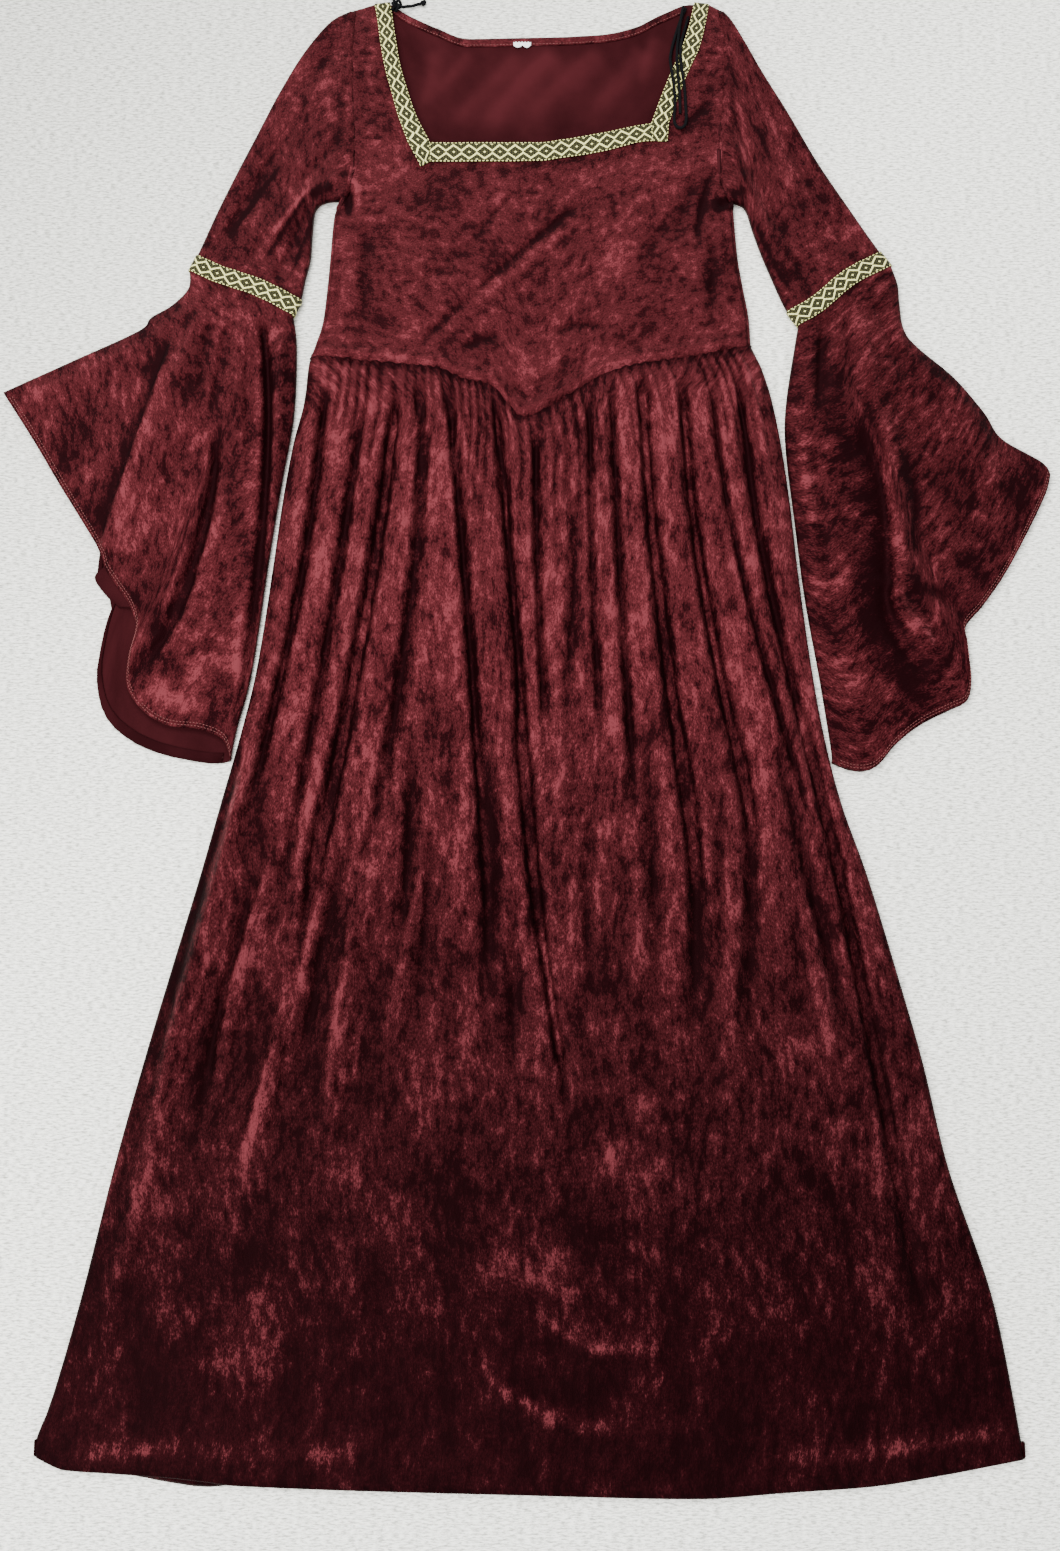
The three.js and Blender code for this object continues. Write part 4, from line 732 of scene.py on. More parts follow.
top_row = band_rows[-1]
left_part, right_part = top_row[:LEFT_INNER + 1], top_row[RIGHT_INNER:]
left_strap = strap(LEFT_STRAP, left_part, 0, LEFT_OUTER, LEFT_INNER, 46)
right_strap = strap(RIGHT_STRAP, right_part, -1, RIGHT_OUTER - RIGHT_INNER, 0, 42)
under_edge = [body_rows[0] + (0, -0.8, -1.2), body_rows[0] + (0, 0.5, -2.6)]
body = np.stack([*band_rows[::-1], *body_rows[::-1], *under_edge])
velvet_bodice = velvet("velvet_bodice", 4, (1.0, 1.0))
# Painted light and shade: the crease heights darken the creases and lighten their ridges, and the pale line
# along the rolled lower edge is a painted highlight.
bodice_front = cloth(
    "front_bodice", [body, left_strap, right_strap], velvet_bodice, inside,
    strokes_and_shade=lambda x, y: bodice_pile_and_shade(x, y) + 0.6 * np.exp(-(((y - waist_front(x) - 5) / 3.5) ** 2)),
    tone_and_shading=lambda grid, closed: bodice_folds(grid[:, :, 0], grid[:, :, 1]) / 2.4)
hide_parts("bodice_front")

# Back bodice: lies on its outside, so its matt knitted back shows inside the neck. The neck edge is
# turned in to a narrow band, velvet side up, held by one line of stitches.
back_neck = through(((-184, 1442), (-160, 1450), (-144, 1452), (-131, 1443), (-96, 1425), (-64, 1413),
                     (-11, 1414), (31, 1415), (76, 1418), (106, 1425), (137, 1441), (166, 1452), (184, 1450),
                     (198, 1442)))
back_folds = relief([
    (30, 1402, -8, 1362, -58, 1300, 1.7, 10, 14, 0.2, 0.25),
    (-8, 1400, -40, 1360, -84, 1312, 1.2, 9, 12, 0.2, 0.25),
    (78, 1400, 36, 1366, -20, 1300, 1.4, 11, 16, 0.2, 0.25),
    (118, 1404, 96, 1372, 52, 1316, 1.2, 10, 14, 0.2, 0.25),
    (-104, 1404, -100, 1370, -112, 1330, 1.2, 7, 9, 0.25, 0.25),
    (-60, 1404, -74, 1380, -98, 1350, 0.9, 6, 8, 0.25, 0.25),
    (130, 1420, 122, 1392, 112, 1352, 1, 6, 8, 0.25, 0.25)])


def back_row(u):
    """A row of the back, from the waist seam (0) to the neck edge (1), right to left."""
    ends = (mix(WAIST_LEFT[1], SHOULDER, u), mix(WAIST_RIGHT[1], SHOULDER, u))

    def plan(s):
        seam = waist_back(mix(WAIST_LEFT[0], WAIST_RIGHT[0], s))
        neck = back_neck(mix(-184, 198, s))
        return np.stack([mix(left_side(ends[0]), right_side(ends[1]), s), mix(seam, neck, u)])

    rolled = [1.0 if y < ARMPIT else 0.0 for y in ends]
    row = lie(plan, evenly(110), None, 8, rolled=rolled)
    row[:, 2] += np.maximum(back_folds(row[:, 0], row[:, 1]), 0)
    if not rolled[0]:
        row[:5, 2] = 0
    if not rolled[1]:
        row[-5:, 2] = 0
    return row[::-1]


rows = [back_row(u) for u in stretches((1, 0.6, 59), (0.6, 0, 29))]
# Painted light and shade: the back's fold ridges are lit up in colour and the rest is toned down a little.
bodice_back = cloth("back_bodice", [np.stack(rows)], velvet_bodice, inside, wall=1.8,
                    tone_and_shading=lambda grid, closed: 0.8 * back_folds(grid[:, :, 0], grid[:, :, 1]) - 0.25)
across = np.linspace(-141, 160, 151)
band = []
for step, rise in ((-0.1, 1.6), (0.4, 2.5), (1.5, 3.1), (4, 3.2), (7.5, 3.15), (9.2, 2.9), (9.6, 2.3)):
    y = back_neck(across) + 0.3 - step
    band.append(np.column_stack([across, y, rise + crumple(across, y, 16, 0.25, 6)]))
band = np.stack(band)
neck_band = cloth("neck_band", [band], velvet_bodice, inside, wall=0.8)

thread_red, shader, node = new_material("thread_red", Roughness=0.6)
twist = node("TexNoise", Vector=node("TexCoord").outputs["Object"], Scale=700, Detail=2)
fill(shader, Base_Color=two_tones(node, twist, (0.070, 0.011, 0.011), (0.210, 0.048, 0.040)))


def sew(name, line, pitch, size, thread):
    """One row of stitches along a line of points, each a small pulled loop of thread."""
    bpy.ops.mesh.primitive_uv_sphere_add(segments=6, ring_count=4, radius=1)
    one = bpy.context.object
    form = np.array([v.co for v in one.data.vertices]) * (size[0] / 2, size[1] / 2, size[2] / 2)
    sides = [tuple(p.vertices) for p in one.data.polygons]
    bpy.data.objects.remove(one)
    line = np.asarray(line, float)
    run = run_along(line)
    at = np.arange(pitch / 2, run[-1], pitch)
    spots = np.stack([np.interp(at, run, line[:, k]) for k in range(3)], 1)
    ahead = unit(np.stack([np.interp(at + 0.5, run, line[:, k]) for k in range(3)], 1) - spots)
    beside = unit(np.cross((0, 0, 1), ahead))
    up = np.cross(ahead, beside)
    points = (spots[:, None] + form[None, :, :1] * ahead[:, None] + form[None, :, 1:2] * beside[:, None]
              + form[None, :, 2:] * up[:, None])
    faces = [[i * len(form) + v for v in side] for i in range(len(spots)) for side in sides]
    mesh = bpy.data.meshes.new(name)
    mesh.from_pydata(lay(points.reshape(-1, 3)).tolist(), [], faces)
    mesh.materials.append(thread)
    piece = add_object(name, mesh)
    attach(piece, "root")
    return piece


neck_stitches = sew("neck_stitches", band[4] + (0, -0.3, 0.05), 3.4, (2.6, 0.5, 0.4), thread_red)
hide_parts("bodice_back")

# Neckline braid: woven ribbon 18 mm wide, gold and black, with a row of nested diamonds, sewn flat
# along the square neck. The two side strips run on past the bottom one at the corners.
gilt, shader, node = new_material("woven_braid", Roughness=0.42, Specular_IOR_Level=0.10,
                                  Specular_Tint=(1, 0.95, 0.5, 1))
PITCH, DASH, RIB = 0.0156, 0.0039, 0.0007
BORDER = 0.84
PALE, OLIVE = (0.66, 0.63, 0.24, 1), (0.036, 0.035, 0.014, 1)
DARK, BLACK = (0.006, 0.006, 0.003, 1), (0.005, 0.005, 0.003, 1)


def calc(kind, a, b=0.0, c=0.0):
    return node("Math", {"operation": kind}, _0=a, _1=b, _2=c)


def choose(share, a, b):
    """The colour a where the share is 0, and b where it is 1."""
    return node("Mix", {"data_type": "RGBA"}, Factor=share, _6=a, _7=b).outputs[2]


def off(value, middle):
    return calc("ABSOLUTE", calc("SUBTRACT", value, middle))


def wave(value, kind="COSINE", times=9.5):
    return calc(kind, calc("MULTIPLY", value, times))


cut = node("UVMap", {"uv_map": "cut"})
split = node("SeparateXYZ", Vector=cut)
along, over = split.outputs["X"], split.outputs["Y"]
a = calc("MULTIPLY", off(calc("FRACT", calc("MULTIPLY", along, 1 / PITCH)), 0.5), 2.0)
b = calc("MULTIPLY", off(over, 0.5), 2.0)
reach, skew = (calc("MULTIPLY_ADD", b, slope, a) for slope in (1.65, -1.65))
weave = node("TexNoise", Vector=node("Mapping", Vector=cut, Scale=(900, 16, 1)), Scale=0.9, Detail=2)
worn = calc("MULTIPLY_ADD", weave, 0.30, -0.15)
lattice = calc("GREATER_THAN", calc("ADD", calc("MULTIPLY", wave(reach), wave(skew)), worn), 0.05)
diamond = choose(calc("MULTIPLY", lattice, calc("LESS_THAN", reach, 0.86)), DARK, OLIVE)
diamond = choose(calc("LESS_THAN", reach, 0.20), diamond, PALE)
corner = choose(calc("GREATER_THAN", reach, 2.16), choose(lattice, DARK, OLIVE), PALE)
zigzag = calc("LESS_THAN", off(calc("ADD", reach, worn), 1.20), 0.19)
inner = choose(zigzag, choose(calc("GREATER_THAN", reach, 1.2), diamond, corner), PALE)
dots = calc("GREATER_THAN", calc("FRACT", calc("MULTIPLY", along, 1 / DASH)), 0.45)
border = choose(calc("MULTIPLY", dots, calc("LESS_THAN", off(b, 0.96), 0.045)), BLACK, PALE)
pattern = choose(calc("GREATER_THAN", b, BORDER), inner, border)
shade = node("Mix", {"data_type": "RGBA", "blend_type": "MULTIPLY"}, Factor=1.0, _6=pattern,
             _7=calc("MULTIPLY_ADD", weave, 1.2, 0.40))
ribs = wave(along, "SINE", 2 * math.pi / RIB)
height = calc("ADD", calc("MULTIPLY", ribs, 0.25), calc("MULTIPLY", calc("ADD", lattice, zigzag), 0.6))
fill(shader, Base_Color=shade.outputs[2], Normal=node("Bump", Strength=0.6, Distance=0.0003, Height=height))


def lifted(grid, by, closed=False):
    """The grid's points moved off the cloth, square to it."""
    wide = np.concatenate([grid[:, -1:], grid, grid[:, :1]], 1) if closed else grid
    across = np.gradient(wide, axis=1)
    if closed:
        across = across[:, 1:-1]
    return grid + by * unit(np.cross(np.gradient(grid, axis=0), across))


def braid(name, grid, lengthwise, closed=False, start=0.0):
    """A strip of braid over a grid of the cloth's own points, raised by its thickness. Its pattern runs
    along the rows of the grid, or down its columns if it is lengthwise."""
    raised = lifted(grid, 1.5, closed)
    ring = np.concatenate([raised, raised[:, :1]], 1) if closed else raised
    if lengthwise:
        ring = ring.swapaxes(0, 1)
    run = run_along(ring[len(ring) // 2]) / 1000 + start
    own = np.stack(np.meshgrid(run, np.linspace(0, 1, len(ring))), 2)
    if lengthwise:
        own = own.swapaxes(0, 1)
    piece = cloth(name, [raised], gilt, gilt, closed=closed, wall=1.0, uv=[own])
    return piece


corner_rows = np.stack([*band_rows[::-1], body_rows[-1]])
left_columns = slice(LEFT_OUTER, LEFT_INNER + 1)
right_columns = slice(0, RIGHT_OUTER - RIGHT_INNER + 1)
left_grid = np.concatenate([left_strap[:-1, left_columns], corner_rows[:, left_columns]])
bottom_grid = corner_rows[:, LEFT_INNER:RIGHT_INNER + 1]
right_grid = np.concatenate([right_strap[:-1, right_columns], corner_rows[:, RIGHT_INNER:RIGHT_OUTER + 1]])
for place, grid, start, flat in (
        ("left", left_grid, 0.004, (0.018, 0.19)), ("bottom", bottom_grid, 0.0, (0.23, 0.019)),
        ("right", right_grid, 0.009, (0.018, 0.17))):
    strip = braid(f"neck_braid_{place}", grid, place != "bottom", start=start)
    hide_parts(f"neck_trim_{place}")

# Sleeves: one piece each, sewn into a tube that narrows to the elbow, lying flat with a fold at both
# edges. Their tops are tucked into the armhole seams.
CUFFS = {"left": ((-336.5, 1163), (-231, 1116.5), 1.5), "right": ((261, 1104), (354.5, 1169), 2.2)}
CUFF_LIFT, CUFF_EDGE, CUFF_LEVEL = 1.55, 8, 8.6
BRUSH_FADES = (0.2, 0.2)
BRAID_WIDTH = 18


def cuff_plan(side, offset):
    start, end, wave = CUFFS[side]
    dx, dy = end[0] - start[0], end[1] - start[1]
    length = math.hypot(dx, dy)

    def plan(s):
        down = offset + wave * np.sin(7.5 * s)
        x = mix(start[0], end[0], s) + dy / length * down
        return np.stack([x, mix(start[1], end[1], s) - dx / length * down])

    return plan


def tube_row(plan, across, under, top, edge, base=0.0, below=None):
    """A whole flattened ring of cloth: the upper face and the lower one, joined at both folds."""
    over = lie(plan, across, top, edge, base)
    beneath = lie(below or plan, under, None, edge, base)[::-1]
    return np.concatenate([over, beneath[1:-1]])


SLEEVES = {
    "left": {
        "armhole": lambda s: np.stack([left_side(mix(SHOULDER, 1231, s)) - 0.6, mix(SHOULDER, 1231, s)]),
        "tuck": (5, 0),
        "rows": (
            ((-201, 1433), (-200, 1230.5), 5), ((-228, 1400), (-209, 1228), 2),
            ((-254, 1353), (-216, 1219), 0), ((-277, 1303), (-218, 1195), 0),
            ((-297, 1259), (-219, 1171), 0), ((-316, 1215), (-224, 1146), 0)),
        "folds": (
            (-238, 1325, -272, 1252, -312, 1180, -2.5, 8, 8),
            (-205, 1250, -240, 1216, -280, 1166, 2.5, 9, 9, 0.1, 0.3),
            (-212, 1238, -231, 1200, -243, 1146, -3, 7, 7, 0.1, 0.3),
            (-190, 1405, -215, 1380, -240, 1340, -1.5, 9, 9),
            (-192, 1300, -214, 1272, -244, 1236, -1.6, 5, 6, 0.2, 0.3),
            (-196, 1262, -204, 1240, -216, 1214, 2.2, 4, 5, 0.2, 0.3),
            (-262, 1200, -272, 1180, -284, 1160, -2, 5, 5, 0.3, 0.2),
            (-240, 1180, -248, 1160, -254, 1142, -1.8, 4, 4, 0.3, 0.2),
            (-296, 1230, -306, 1205, -318, 1180, 1.5, 5, 6, 0.3, 0.2)),
        "strokes_and_shade": (
            (-246, 1274, -276, 1232, -304, 1186, -3, 2.4, 2.6),
            (-222, 1242, -240, 1208, -266, 1164, -2.2, 2, 2.6),
            (-214, 1222, -226, 1186, -240, 1146, -1.8, 2, 2.6),
            (-224, 1234, -211, 1241, -197, 1243, -2.6, 5, 5, 0.2, 0.1),
            (-214, 1248, -236, 1224, -262, 1184, 1.4, 3, 2.4),
            (-186, 1380, -192, 1330, -190, 1280, -0.5, 4, 5),
            (-218, 1340, -212, 1330, -206, 1326, -0.8, 7, 7),
            (-206, 1316, -196, 1306, -190, 1296, -0.8, 5, 5),
            (-320, 1196, -322, 1186, -326, 1176, -0.5, 5, 8),
            (-290, 1232, -296, 1214, -306, 1196, 0.5, 6, 6))},
    "right": {
        "armhole": lambda s: np.stack([right_side(mix(1229, SHOULDER, s)) + 0.6, mix(1229, SHOULDER, s)]),
        "tuck": (-5, 0),
        "rows": (
            ((210, 1227), (205.5, 1434), -2), ((214, 1225), (220, 1408), 0), ((218, 1218), (235, 1378), 0),
            ((222, 1203), (262, 1329), 0), ((229, 1180), (291, 1273), 0), ((240, 1150), (324, 1218), 0)),
        "folds": (
            (236, 1352, 262, 1290, 300, 1215, -2, 8, 9), (214, 1290, 238, 1230, 282, 1150, -2.5, 7, 8),
            (212, 1262, 222, 1235, 242, 1180, 2, 7, 8), (262, 1175, 272, 1150, 280, 1128, -2, 6, 6),
            (206, 1300, 216, 1262, 232, 1222, 1.8, 5, 6), (204, 1330, 214, 1300, 230, 1262, -1.5, 5, 6),
            (300, 1210, 310, 1190, 320, 1172, -1.6, 5, 5, 0.3, 0.2)),
        "strokes_and_shade": (
            (226, 1316, 236, 1294, 244, 1268, -1.8, 2.4, 3),
            (222, 1216, 240, 1170, 262, 1126, -1.4, 2.4, 3),
            (205, 1302, 214, 1260, 228, 1228, -1.3, 2.4, 3), (252, 1182, 262, 1166, 270, 1150, -0.9, 4, 4),
            (204, 1400, 205, 1340, 203, 1290, -0.6, 4, 4),
            (216, 1244, 210, 1238, 202, 1234, -1.6, 4, 4, 0.1, 0.1),
            (214, 1300, 226, 1260, 250, 1200, 0.6, 4, 4))}}
velvet_sleeve = velvet("velvet_sleeve", 9, (1.0, 0.85), contrast=1.1, middle=0.42)
for side, sleeve in SLEEVES.items():
    folds = relief(sleeve["folds"])
    lines = [sleeve["armhole"]]
    for start, end, bulge in sleeve["rows"]:
        lines.append(lambda s, a=start, b=end, c=bulge: np.stack(
            [mix(a[0], b[0], s) + c * np.sin(np.pi * s), mix(a[1], b[1], s)]))
    lines.append(cuff_plan(side, -BRAID_WIDTH / 2))
    lines.append(cuff_plan(side, -0.1))
    across, under = evenly(84), evenly(26)
    knots = np.array([0, 1, 2.4, 4, 5.6, 7.1, 8.6, 10, 10.7])
    rows = []
    for at in stretches((0, 10, 99), (10, 10.7, 7)):
        def plan(s, at=at):
            spots = np.stack([line(s) for line in lines])
            return np.stack([[through(list(zip(knots, spots[:, axis, i])))(at) for i in range(len(s))]
                             for axis in (0, 1)])

        cuffed = smooth((at - 8.9) / 1.1)
        rows.append(tube_row(
            plan, across, under,
            lambda x, y, s, k=cuffed: mix(9.2, CUFF_LIFT + CUFF_LEVEL, k) + mix(1, 0.4, k) * folds(x, y)
            + crumple(x, y, 24, 0.8, 4) + crumple(x, y, 9, 0.35, 1),
            mix(9, CUFF_EDGE, cuffed), CUFF_LIFT * cuffed))
    tuck = rows[0] * (1, 1, 0.72) + (sleeve["tuck"][0], 0, 1.2)
    # The sleeve's strokes include painted shadows at the underarm and in the creases as well as dark and pale
    # pile.
    piece = cloth(f"sleeve_{side}_upper", [np.stack([tuck, *rows])], velvet_sleeve, inside, closed=True,
                  wall=1.2, strokes_and_shade=relief(sleeve["strokes_and_shade"], BRUSH_FADES))
    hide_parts(f"sleeve_{side}")

# Bells: wide circular lower sleeves sewn to the cuff, laid flat and folded over themselves. The hem
# is turned once and topstitched twice. The left one shows its matt inside at the lower lobe.
BELLS = {
    "left": {
        "left": ((-341, 1137), (-357, 1119), (-377, 1106), (-389, 1092), (-452, 1061), (-520, 1028)),
        "right": ((-231, 1074), (-232, 1003), (-242, 934), (-252, 860), (-266, 745), (-279, 688),
                  (-284, 658)),
        "hem": ((-488, 979), (-458, 930), (-419, 868), (-411, 847), (-399, 829), (-385, 808), (-379, 786),
                (-385, 755), (-384, 728), (-369, 706), (-346, 692), (-315, 688), (-292, 678)),
        "below": ((-488, 979), (-458, 930), (-419, 868), (-420, 842), (-404, 813), (-409, 790), (-413, 765),
                  (-415, 737), (-406, 703), (-383, 680), (-350, 665), (-304, 656)),
        "folds": (
            (-346, 1100, -386, 970, -416, 864, 5.5, 2.2, 40, 0.2, 0.04),
            (-322, 850, -346, 785, -384, 740, -5, 5, 4, 0.15, 0.1),
            (-306, 1000, -318, 880, -354, 786, -7.5, 6, 5, 0.2, 0.2),
            (-300, 930, -322, 830, -362, 742, 4, 4, 14, 0.2, 0.25),
            (-266, 1104, -257, 940, -276, 700, -8, 5, 4, 0.05, 0.12),
            (-247, 1090, -245, 990, -252, 860, 3.5, 6, 7, 0.1, 0.4),
            (-270, 850, -276, 790, -280, 700, 3, 4, 8, 0.2, 0.3),
            (-376, 790, -390, 738, -330, 696, 2.5, 8, 12, 0.1, 0.1),
            (-300, 800, -318, 760, -322, 710, 3, 14, 16),
            (-300, 1100, -306, 1050, -310, 1000, -3, 5, 7, 0.1, 0.35),
            (-290, 1098, -288, 1040, -286, 980, 2.4, 5, 6, 0.1, 0.35),
            (-280, 1080, -276, 1010, -274, 930, -2.4, 5, 5, 0.2, 0.35),
            (-325, 1112, -340, 1070, -352, 1020, 2, 5, 8, 0.1, 0.35),
            (-316, 1100, -322, 1060, -324, 1010, -2, 5, 5, 0.1, 0.35),
            (-430, 1040, -440, 990, -436, 920, -1.5, 14, 14, 0.3, 0.3),
            (-334, 990, -352, 930, -372, 860, -1.6, 8, 10, 0.3, 0.3),
            (-340, 806, -350, 790, -372, 784, -2, 4, 5, 0.2, 0.3)),
        "strokes_and_shade": (
            (-306, 992, -318, 880, -351, 793, -2, 4, 3.5, 0.1, 0.1),
            (-352, 1085, -391, 965, -421, 866, -1.2, 11, 3, 0.1, 0.1),
            (-343, 1095, -381, 970, -411, 868, 0.5, 3, 8, 0.1, 0.1),
            (-388, 1042, -368, 1058, -346, 1076, -1.2, 6, 6),
            (-266, 1100, -257, 940, -274, 740, -2, 4, 3.5, 0.06, 0.2),
            (-322, 850, -346, 785, -384, 740, -1.8, 5, 5, 0.1, 0.1),
            (-398, 838, -376, 812, -350, 798, -1, 4, 5, 0.1, 0.1),
            (-470, 1010, -450, 985, -440, 940, -0.5, 14, 14),
            (-300, 960, -290, 920, -292, 860, -0.7, 6, 8), (-340, 960, -360, 920, -380, 870, 0.35, 20, 24),
            (-290, 900, -300, 850, -310, 800, 0.6, 12, 14), (-286, 820, -280, 780, -284, 730, 0.9, 6, 8),
            (-372, 730, -345, 715, -300, 712, 1, 9, 14), (-330, 745, -320, 750, -306, 756, 0.9, 9, 9),
            (-300, 780, -312, 768, -330, 762, -1, 7, 7), (-300, 728, -292, 736, -286, 750, -1, 7, 9),
            (-376, 834, -364, 828, -352, 826, -0.9, 8, 8),
            (-244, 1096, -250, 990, -246, 880, -0.9, 10, 13),
            (-330, 730, -318, 724, -306, 726, -1.2, 8, 8), (-350, 760, -338, 748, -330, 736, -1, 8, 8),
            (-372, 796, -356, 784, -346, 776, -1, 7, 7))},
    "right": {
        "left": ((262, 1074), (252, 1014), (250.5, 969), (257.5, 892), (265, 817), (277, 737), (286, 668),
                 (286, 656)),
        "right": ((367, 1141), (368, 1123), (371, 1095), (383, 1076), (419, 1043), (447, 1007), (463, 980),
                  (501, 956), (509, 944)),
        "hem": ((308, 648), (328, 652), (348, 674), (372, 693), (402, 708), (417, 716), (422, 735),
                (421, 756), (420, 772), (419, 789), (436, 809), (459, 841), (484, 885), (503, 923)),
        "folds": (
            (332, 1040, 352, 930, 353, 820, 6, 3, 17, 0.3, 0.059),
            (352.5, 833, 360, 797, 404, 757, 6, 3.5, 10, 0.14, 0.25),
            (322, 1000, 343, 920, 344, 825, -5, 14, 4, 0.2, 0.1),
            (344, 835, 352, 785, 390, 742, -5, 12, 5, 0.1, 0.2),
            (372, 960, 376, 900, 370, 850, -3, 6, 6, 0.3, 0.3),
            (292, 1105, 286, 1050, 282, 1000, -5, 5, 7, 0.05, 0.4),
            (325, 1110, 332, 1060, 338, 1000, 2.4, 7, 8, 0.2, 0.3),
            (312, 1100, 316, 1060, 316, 1000, -2.2, 5, 6, 0.1, 0.35),
            (345, 1120, 356, 1080, 370, 1030, -2, 6, 8, 0.1, 0.3),
            (385, 830, 405, 812, 425, 795, -3, 6, 6), (392, 794, 388, 776, 398, 760, -4, 5, 5, 0.2, 0.3),
            (296, 900, 303, 820, 320, 740, 2.4, 14, 16),
            (276, 980, 284, 880, 290, 780, -2, 6, 8, 0.3, 0.3),
            (420, 1000, 440, 960, 450, 900, 2, 12, 14, 0.3, 0.3),
            (262, 1010, 266, 940, 274, 860, 2, 5, 7, 0.3, 0.3)),
        "strokes_and_shade": (
            (330, 990, 341, 905, 340, 820, -1.3, 24, 7, 0.15, 0.1),
            (334, 815, 343, 762, 378, 722, -2, 15, 14, 0.1, 0.15),
            (330, 880, 332, 840, 334, 800, -0.9, 18, 12),
            (338, 1030, 356, 930, 357, 822, 0.5, 2, 3, 0.2, 0.1),
            (358, 832, 366, 799, 404, 762, 0.4, 2, 3, 0.1, 0.2), (352, 1000, 368, 930, 370, 850, -1, 5, 6),
            (366, 830, 392, 824, 420, 822, -1, 7, 7), (384, 950, 392, 925, 402, 900, -0.9, 9, 9),
            (414, 870, 428, 846, 446, 826, -0.9, 8, 8), (450, 936, 470, 922, 490, 912, -1, 9, 9),
            (402, 758, 388, 748, 378, 728, -1, 5, 7, 0.1, 0.2),
            (285, 1090, 287, 1040, 284, 990, -1, 7, 7, 0.1, 0.3),
            (398, 745, 404, 735, 408, 722, 0.8, 7, 7), (266, 900, 280, 896, 296, 890, 1.2, 7, 9),
            (262, 940, 276, 936, 292, 930, 1, 6, 7), (262, 975, 280, 972, 306, 966, 0.8, 5, 5),
            (296, 830, 310, 832, 330, 836, 0.9, 4, 4), (292, 760, 304, 740, 310, 710, 0.7, 8, 10),
            (346, 960, 350, 900, 350, 850, 1.2, 4, 3), (380, 950, 396, 900, 400, 870, 0.7, 9, 9),
            (440, 900, 452, 890, 462, 900, 0.8, 5, 7), (300, 1060, 300, 1020, 296, 980, -0.8, 9, 9))}}
BELL_DOWN = (  # t, edge, level
    (0, 8, 10.15), (0.09, 8, 11), (0.3, 8, 11.5), (0.6, 7, 10), (0.85, 6.5, 8.2), (1, 6, 6.4))
bell_edge, bell_level = curves(BELL_DOWN)


def outline(points):
    """A smooth line through points, read by its own length from 0 to 1."""
    p = np.array(points, float)
    p = np.concatenate([p[:1], p, p[-1:]])
    k = np.linspace(0, 1, 24, endpoint=False)[:, None]
    line = []
    for a, b, c, d in zip(p, p[1:], p[2:], p[3:]):
        u, v = (c - a) / 2, (d - b) / 2
        line.append((2 * b - 2 * c + u + v) * k ** 3 + (3 * c - 3 * b - 2 * u - v) * k ** 2 + u * k + b)
    line = np.concatenate([*line, p[-1:]])
    run = run_along(line)
    return lambda s: np.stack([np.interp(np.asarray(s) * run[-1], run, line[:, i]) for i in (0, 1)])


def patch(top, hem, left, right):
    """The flat surface that fills four edges: top and hem run left to right, the two sides run down."""
    a, b, c, d = top(0.0), top(1.0), hem(0.0), hem(1.0)

    def at(s, t):
        s = np.asarray(s, float)
        corners = [mix(mix(a[i], b[i], s), mix(c[i], d[i], s), t) for i in (0, 1)]
        lines = mix(top(s), hem(s), t)
        sides = mix(left(t)[:, None], right(t)[:, None], s[None]) if s.ndim else mix(left(t), right(t), s)
        return lines + sides - np.stack(corners)

    return at


